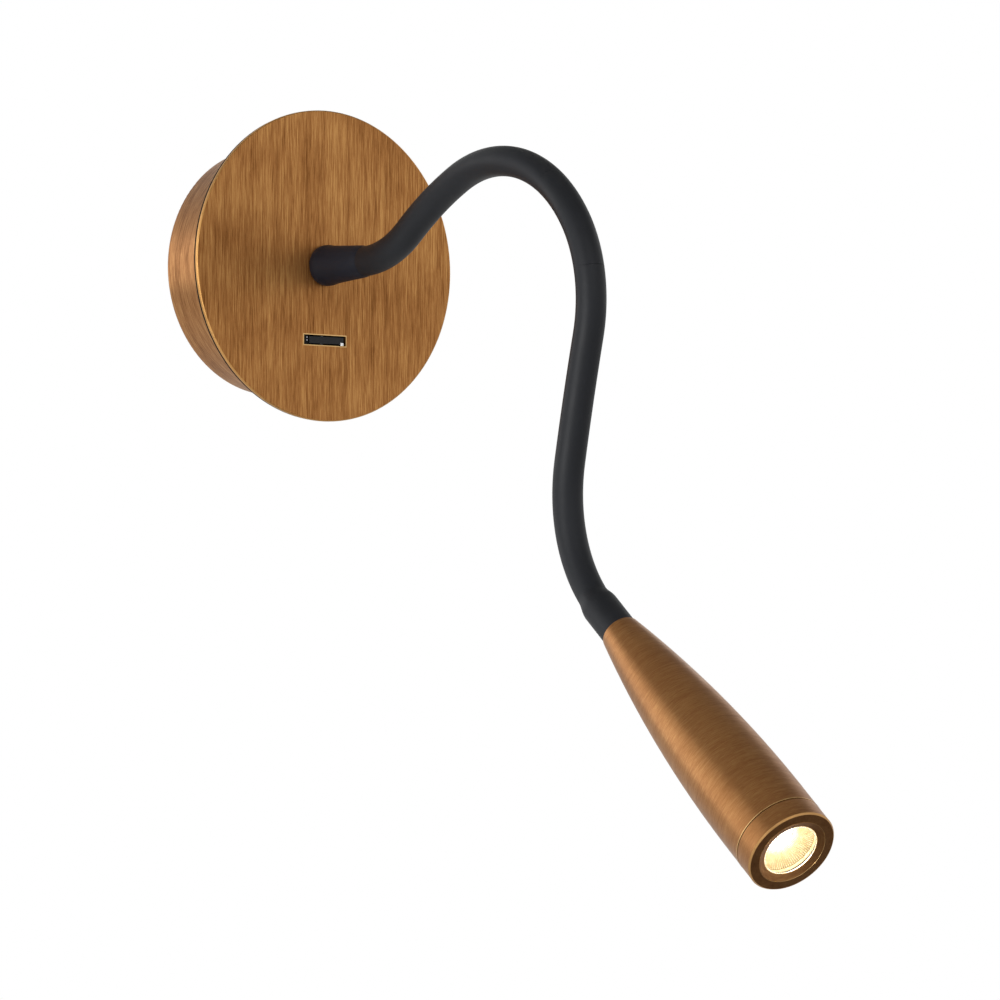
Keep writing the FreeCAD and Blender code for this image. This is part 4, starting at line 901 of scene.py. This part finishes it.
class LAMP_OT_arrises(bpy.types.Operator):
    """Makes the bright edges, painted highlights round slot, joint, bezel and plate, and the black ring
    of painted shade behind the plate's rim
    """

    bl_idname = "lamp.arrises"
    bl_label = "Make the worn edges"

    def execute(self, context):
        settings = context.scene.lamp_edges
        wide = settings.width / MM
        proud = settings.proud / MM
        # bright brass rings and frame on the edges: painted highlights for the light the chamfers catch
        painted_highlight = trim("burnished_brass_edge")
        inside = HEAD_RADIUS - wide
        outside = HEAD_RADIUS + proud
        self.add_ring("joint_arris", painted_highlight, (
            (inside, JOINT_LINE), (inside, JOINT_LINE - wide),
            (outside, JOINT_LINE - wide), (outside, JOINT_LINE)))
        lip = FACE_STATION + LIP_HEIGHT + proud
        self.add_ring("lip_arris", painted_highlight, (
            (FACE_LIP - wide / 2, FACE_STATION), (FACE_LIP + wide / 4, FACE_STATION),
            (FACE_LIP + wide / 8, lip), (FACE_LIP - wide / 4, lip)))
        self.add_ring("bezel_arris", trim("worn_brass_edge"), (
            (outside, FACE_STATION - FACE_BEVEL - proud),
            (outside - FACE_BEVEL, FACE_STATION + proud),
            (HEAD_RADIUS - FACE_BEVEL - wide / 2, FACE_STATION - wide / 2),
            (HEAD_RADIUS - wide / 2, FACE_STATION - FACE_BEVEL - wide / 2)))
        outside = PLATE_RADIUS + proud
        front = PLATE_FRONT + proud
        self.add_ring("plate_arris", trim("golden_brass_edge"), (
            (outside - wide, front), (outside, front - wide),
            (outside, PLATE_BACK + wide / 4), (PLATE_RADIUS - wide / 2, PLATE_BACK + wide / 4),
            (PLATE_RADIUS - 1.5 * wide, PLATE_FRONT - wide / 2)), OUT_OF_WALL, "wall_unit")
        # painted shade: a black ring behind the plate's rim draws the dark gap line
        inner = CARRIER_RADIUS - CLEARANCE
        outer = PLATE_RADIUS - SHADE_RING_SETBACK
        self.add_ring("rim_foam", trim("black_closed_cell_foam"), (
            (inner, PLATE_BACK), (outer, PLATE_BACK),
            (outer, PLATE_BACK - SHADE_RING_DEPTH), (inner, PLATE_BACK - SHADE_RING_DEPTH)),
            OUT_OF_WALL, "wall_unit", "foam")
        self.add_frame(painted_highlight, wide, proud)
        return {"FINISHED"}

    def add_ring(self, name, material, profile, place=HEAD, body="head", slot="plate"):
        add_piece(turned_mesh(name, profile, RING_SIDES, place), material, body)

    def add_frame(self, material, wide, proud):
        """The slot's bright edge, a painted highlight: its rings of corners go out from the slot, up
        and back down into it.
        """
        work = bmesh.new()
        loops = []
        for grow, out in ((0, -wide), (wide, -wide), (wide, 0), (wide / 2, proud), (0, proud)):
            half = SLOT_HALF + Vector((grow, 0, grow))
            loops.append([
                work.verts.new((SLOT_MIDDLE + Vector((across * half.x, -out, up * half.z))) * MM)
                for across, up in ((-1, -1), (1, -1), (1, 1), (-1, 1))])
        bridge(work, loops)
        add_piece(finished_mesh("slot_arris", work), material, "wall_unit")


class LAMP_OT_switch(bpy.types.Operator):
    """Makes the black block at the slot's left end, near black partly as painted shade of the recess,
    with its two pins, and the rocker's white mark
    """

    bl_idname = "lamp.switch"
    bl_label = "Dress the switch"

    def execute(self, context):
        # the end block is black acetal, and its near black is also painted shade of the recess at the
        # slot's left end
        black = trim("gloss_black_acetal")
        pale = trim("pale_acetal_pin")
        self.add_block("switch_end_block", "wall_unit", black, *END_BLOCK, BLOCK_ROUNDING)
        low, high = PIN_CORNERS
        for name, middle in PIN_MIDDLES.items():
            self.add_block(name, "wall_unit", pale, middle + low, middle + high, PIN_ROUNDING)
        rocker = BVHTree.FromObject(
            frame["nodes"]["switch_rocker"], bpy.context.evaluated_depsgraph_get())
        spot = rocker.ray_cast(MARK_LINE_START * MM, Vector((0, 1, 0)))[0]
        if spot is None:
            raise RuntimeError("the rocker has no face where its mark goes")
        low, high = (spot / MM + corner for corner in MARK_CORNERS)
        self.add_block("rocker_mark", "rocker", trim("white_enamel_mark"), low, high, MARK_ROUNDING)
        return {"FINISHED"}

    def add_block(self, name, body, material, low, high, rounding):
        """A block between two corners, its edges rounded."""
        work = bmesh.new()
        bmesh.ops.create_cube(work, size=1.0)
        for vertex in work.verts:
            share = vertex.co + Vector((0.5, 0.5, 0.5))
            vertex.co = (low + (high - low) * share) * MM
        bmesh.ops.bevel(
            work, geom=work.edges[:], offset=rounding * MM, segments=ROUNDING_STEPS, profile=0.5,
            affect="EDGES")
        add_piece(finished_mesh(name, work), material, body)


class LAMP_OT_lens(bpy.types.Operator):
    """Makes the crowned lens, and the flutes and wall of the optic's cone behind it; the flutes, the
    wall and the ribs at the lens's edge glow by painted light
    """

    bl_idname = "lamp.lens"
    bl_label = "Make the optic"

    def execute(self, context):
        settings = context.scene.lamp_lens
        self.add_disc(settings.crown / MM)
        # painted glow: the lens's edge ribs, the optic's wall and its flutes emit light that stands for
        # the LED's light caught in them
        edge = glowing(
            "lit_lens_edge", (opaque("f4e6c4"), WHITE), LENS_EDGE_PAINTED_GLOW, OPTIC_MOTTLE, Roughness=0.3)
        ribs = glowing(
            "lit_flutes", (opaque("e2cb98"), opaque("f7e8c4")), FLUTE_PAINTED_GLOW, OPTIC_MOTTLE, Roughness=0.3)
        inner = REFLECTOR_MOUTH - WALL_LAP
        outer = GASKET_BORE - CLEARANCE
        back = REFLECTOR_FRONT - WALL_LAP_ALONG
        front = LENS_BACK - CLEARANCE
        wall = turned_mesh("optic_wall", ((inner, back), (outer, back), (outer, front), (inner, front)))
        add_piece(wall, ribs, "head")
        rise = (REFLECTOR_MOUTH - REFLECTOR_THROAT) / (REFLECTOR_FRONT - REFLECTOR_BACK)
        height = settings.flute_height
        self.add_ribs("optic_flutes", settings.flutes, (
            (REFLECTOR_THROAT + FLUTE_END * rise, REFLECTOR_BACK + FLUTE_END),
            (REFLECTOR_MOUTH - FLUTE_END * rise, REFLECTOR_FRONT - FLUTE_END)),
            (height * FLUTE_TAPER, height), ribs, "mirror_metal")
        self.add_ribs("lens_edge", settings.flutes, [
            (LENS_WINDOW - inward, LENS_FRONT - behind) for inward, behind in EDGE_RIB_ENDS],
            [radius * MM for radius in EDGE_RIB_RADII], edge, "clear_lens")
        return {"FINISHED"}

    def add_disc(self, crown):
        """The lens: a flange with a front that rises to its middle by the crown."""
        profile = [
            (LENS_HOLE, LENS_BACK), (LENS_FLANGE, LENS_BACK), (LENS_FLANGE, LENS_SHOULDER),
            (LENS_WINDOW, LENS_SHOULDER)]
        for index in range(CROWN_STEPS + 1):
            out = 1 - index / CROWN_STEPS
            profile.append((LENS_WINDOW * out + LENS_HOLE, LENS_FRONT - crown * out ** 2))
        material = frame["nodes"]["lens"].material_slots[0].material
        add_piece(turned_mesh("lens_disc", profile), material, "head", "lens")

    def add_ribs(self, name, count, ends, radii, material, slot):
        """Ribs round the head's axis, each from its inner (radius, station) to its outer one."""
        seed = link_object(name + "_seed", bpy.data.meshes.new(name + "_seed"))
        (inner_radius, inner_station), (outer_radius, outer_station) = ends
        ribs = grown(seed, ribs_group(), {
            "Count": count, "Inner": (inner_radius * MM, 0, inner_station * MM),
            "Outer": (outer_radius * MM, 0, outer_station * MM),
            "Inner radius": radii[0], "Outer radius": radii[1], "Material": material}, name)
        bpy.data.objects.remove(seed)
        ribs.data.transform(HEAD)
        smooth(ribs.data)
        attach(ribs, "head")


class LAMP_OT_stage(bpy.types.Operator):
    """Sets up the camera, the soft lights, the pale floor and the white surroundings"""

    bl_idname = "lamp.stage"
    bl_label = "Set the stage"

    def execute(self, context):
        scene = context.scene
        settings = scene.lamp_stage
        scene.view_settings.view_transform = "Standard"
        self.add_camera(scene)
        self.add_world(scene, settings)
        self.add_floor(settings)
        # softboxes: the key light gives the long highlight down the cup and the head
        for name, (place, size, setting) in LIGHTS.items():
            self.add_light(name, place, size, getattr(settings, setting))
        return {"FINISHED"}

    def add_camera(self, scene):
        turn, _ = VIEW_HEADING
        back = self.bearing(*VIEW_HEADING)
        level = Vector((math.cos(turn), math.sin(turn), 0))
        upright = back.cross(level)
        right = level * math.cos(VIEW_ROLL) + upright * math.sin(VIEW_ROLL)
        up = upright * math.cos(VIEW_ROLL) - level * math.sin(VIEW_ROLL)
        data = bpy.data.cameras.new("camera")
        data.lens = VIEW_LENS
        data.sensor_width = SENSOR
        camera = link_object("camera", data)
        place = VIEW_TARGET + self.bearing(*VIEW_PLACE) * VIEW_DISTANCE
        turned = Matrix((right, up, back)).transposed().to_4x4()
        camera.matrix_world = Matrix.Translation(place) @ turned
        scene.camera = camera

    def bearing(self, turn, rise):
        """Direction at an angle round from straight in front of the lamp and an angle up."""
        return Vector((
            math.sin(turn) * math.cos(rise), -math.cos(turn) * math.cos(rise), math.sin(rise)))

    def add_world(self, scene, settings):
        """Even light all round, behind a background that looks white."""
        world = bpy.data.worlds.new("studio")
        world.use_nodes = True
        tree = world.node_tree
        tree.nodes.clear()
        around = add_node(tree, "ShaderNodeBackground", {"Color": WHITE, "Strength": settings.sky})
        backdrop = add_node(tree, "ShaderNodeBackground", {"Color": WHITE, "Strength": 1.0})
        mixed = add_node(tree, "ShaderNodeMixShader", {
            0: shown_plainly(tree), 1: around.outputs[0], 2: backdrop.outputs[0]})
        add_node(tree, "ShaderNodeOutputWorld", {"Surface": mixed.outputs[0]})
        scene.world = world

    def add_floor(self, settings):
        mesh = square_mesh("floor", (0, 0, -settings.floor_drop), FLOOR_HALF, 1)
        mesh.materials.append(pale_floor(settings.lift))
        link_object("floor", mesh)
        # grey cloths that only gloss and glass see: one over the lamp keeps the tops of the metal
        # brown, and a darker one below it keeps the bezel's face dark
        for name, (middle, half) in CLOTHS.items():
            mesh = square_mesh(name, middle, half, -1)
            mesh.materials.append(trim(name + "_cloth"))
            cloth = link_object(name, mesh)
            cloth.visible_camera = False
            cloth.visible_diffuse = False
            cloth.visible_shadow = False

    def add_light(self, name, place, size, power):
        data = bpy.data.lights.new(name, "AREA")
        data.shape = "SQUARE"
        data.size = size
        data.energy = power
        light = link_object(name, data)
        light.location = place
        aim = LIGHT_AIM - Vector(place)
        light.rotation_euler = aim.to_track_quat("-Z", "Y").to_euler()
        light.visible_camera = False


OPERATORS = (
    LAMP_OT_finishes, LAMP_OT_sleeve, LAMP_OT_boot, LAMP_OT_lens, LAMP_OT_arrises, LAMP_OT_switch,
    LAMP_OT_stage)


class LAMP_PT_panel(bpy.types.Panel):
    """Sizes, colours and steps of the reading lamp"""

    bl_label = "Reading lamp"
    bl_idname = "LAMP_PT_panel"
    bl_space_type = "VIEW_3D"
    bl_region_type = "UI"
    bl_category = "Reading lamp"

    def draw(self, context):
        for operator in OPERATORS:
            self.layout.operator(operator.bl_idname)
        for key, kind in GROUPS.items():
            box = self.layout.box()
            for name in kind.__annotations__:
                box.prop(getattr(context.scene, key), name)


CLASSES = (*GROUPS.values(), *OPERATORS, LAMP_PT_panel)


def register():
    """Registers the classes and puts each group of settings on the scene."""
    for item in CLASSES:
        bpy.utils.register_class(item)
    for key, kind in GROUPS.items():
        setattr(bpy.types.Scene, key, PointerProperty(type=kind))


def unregister():
    for key in GROUPS:
        delattr(bpy.types.Scene, key)
    for item in reversed(CLASSES):
        bpy.utils.unregister_class(item)


def main():
    register()
    bpy.ops.lamp.finishes()
    bpy.ops.lamp.sleeve()
    bpy.ops.lamp.boot()
    bpy.ops.lamp.lens()
    bpy.ops.lamp.arrises()
    bpy.ops.lamp.switch()
    bpy.ops.lamp.stage()


if __name__ == "__main__":
    main()
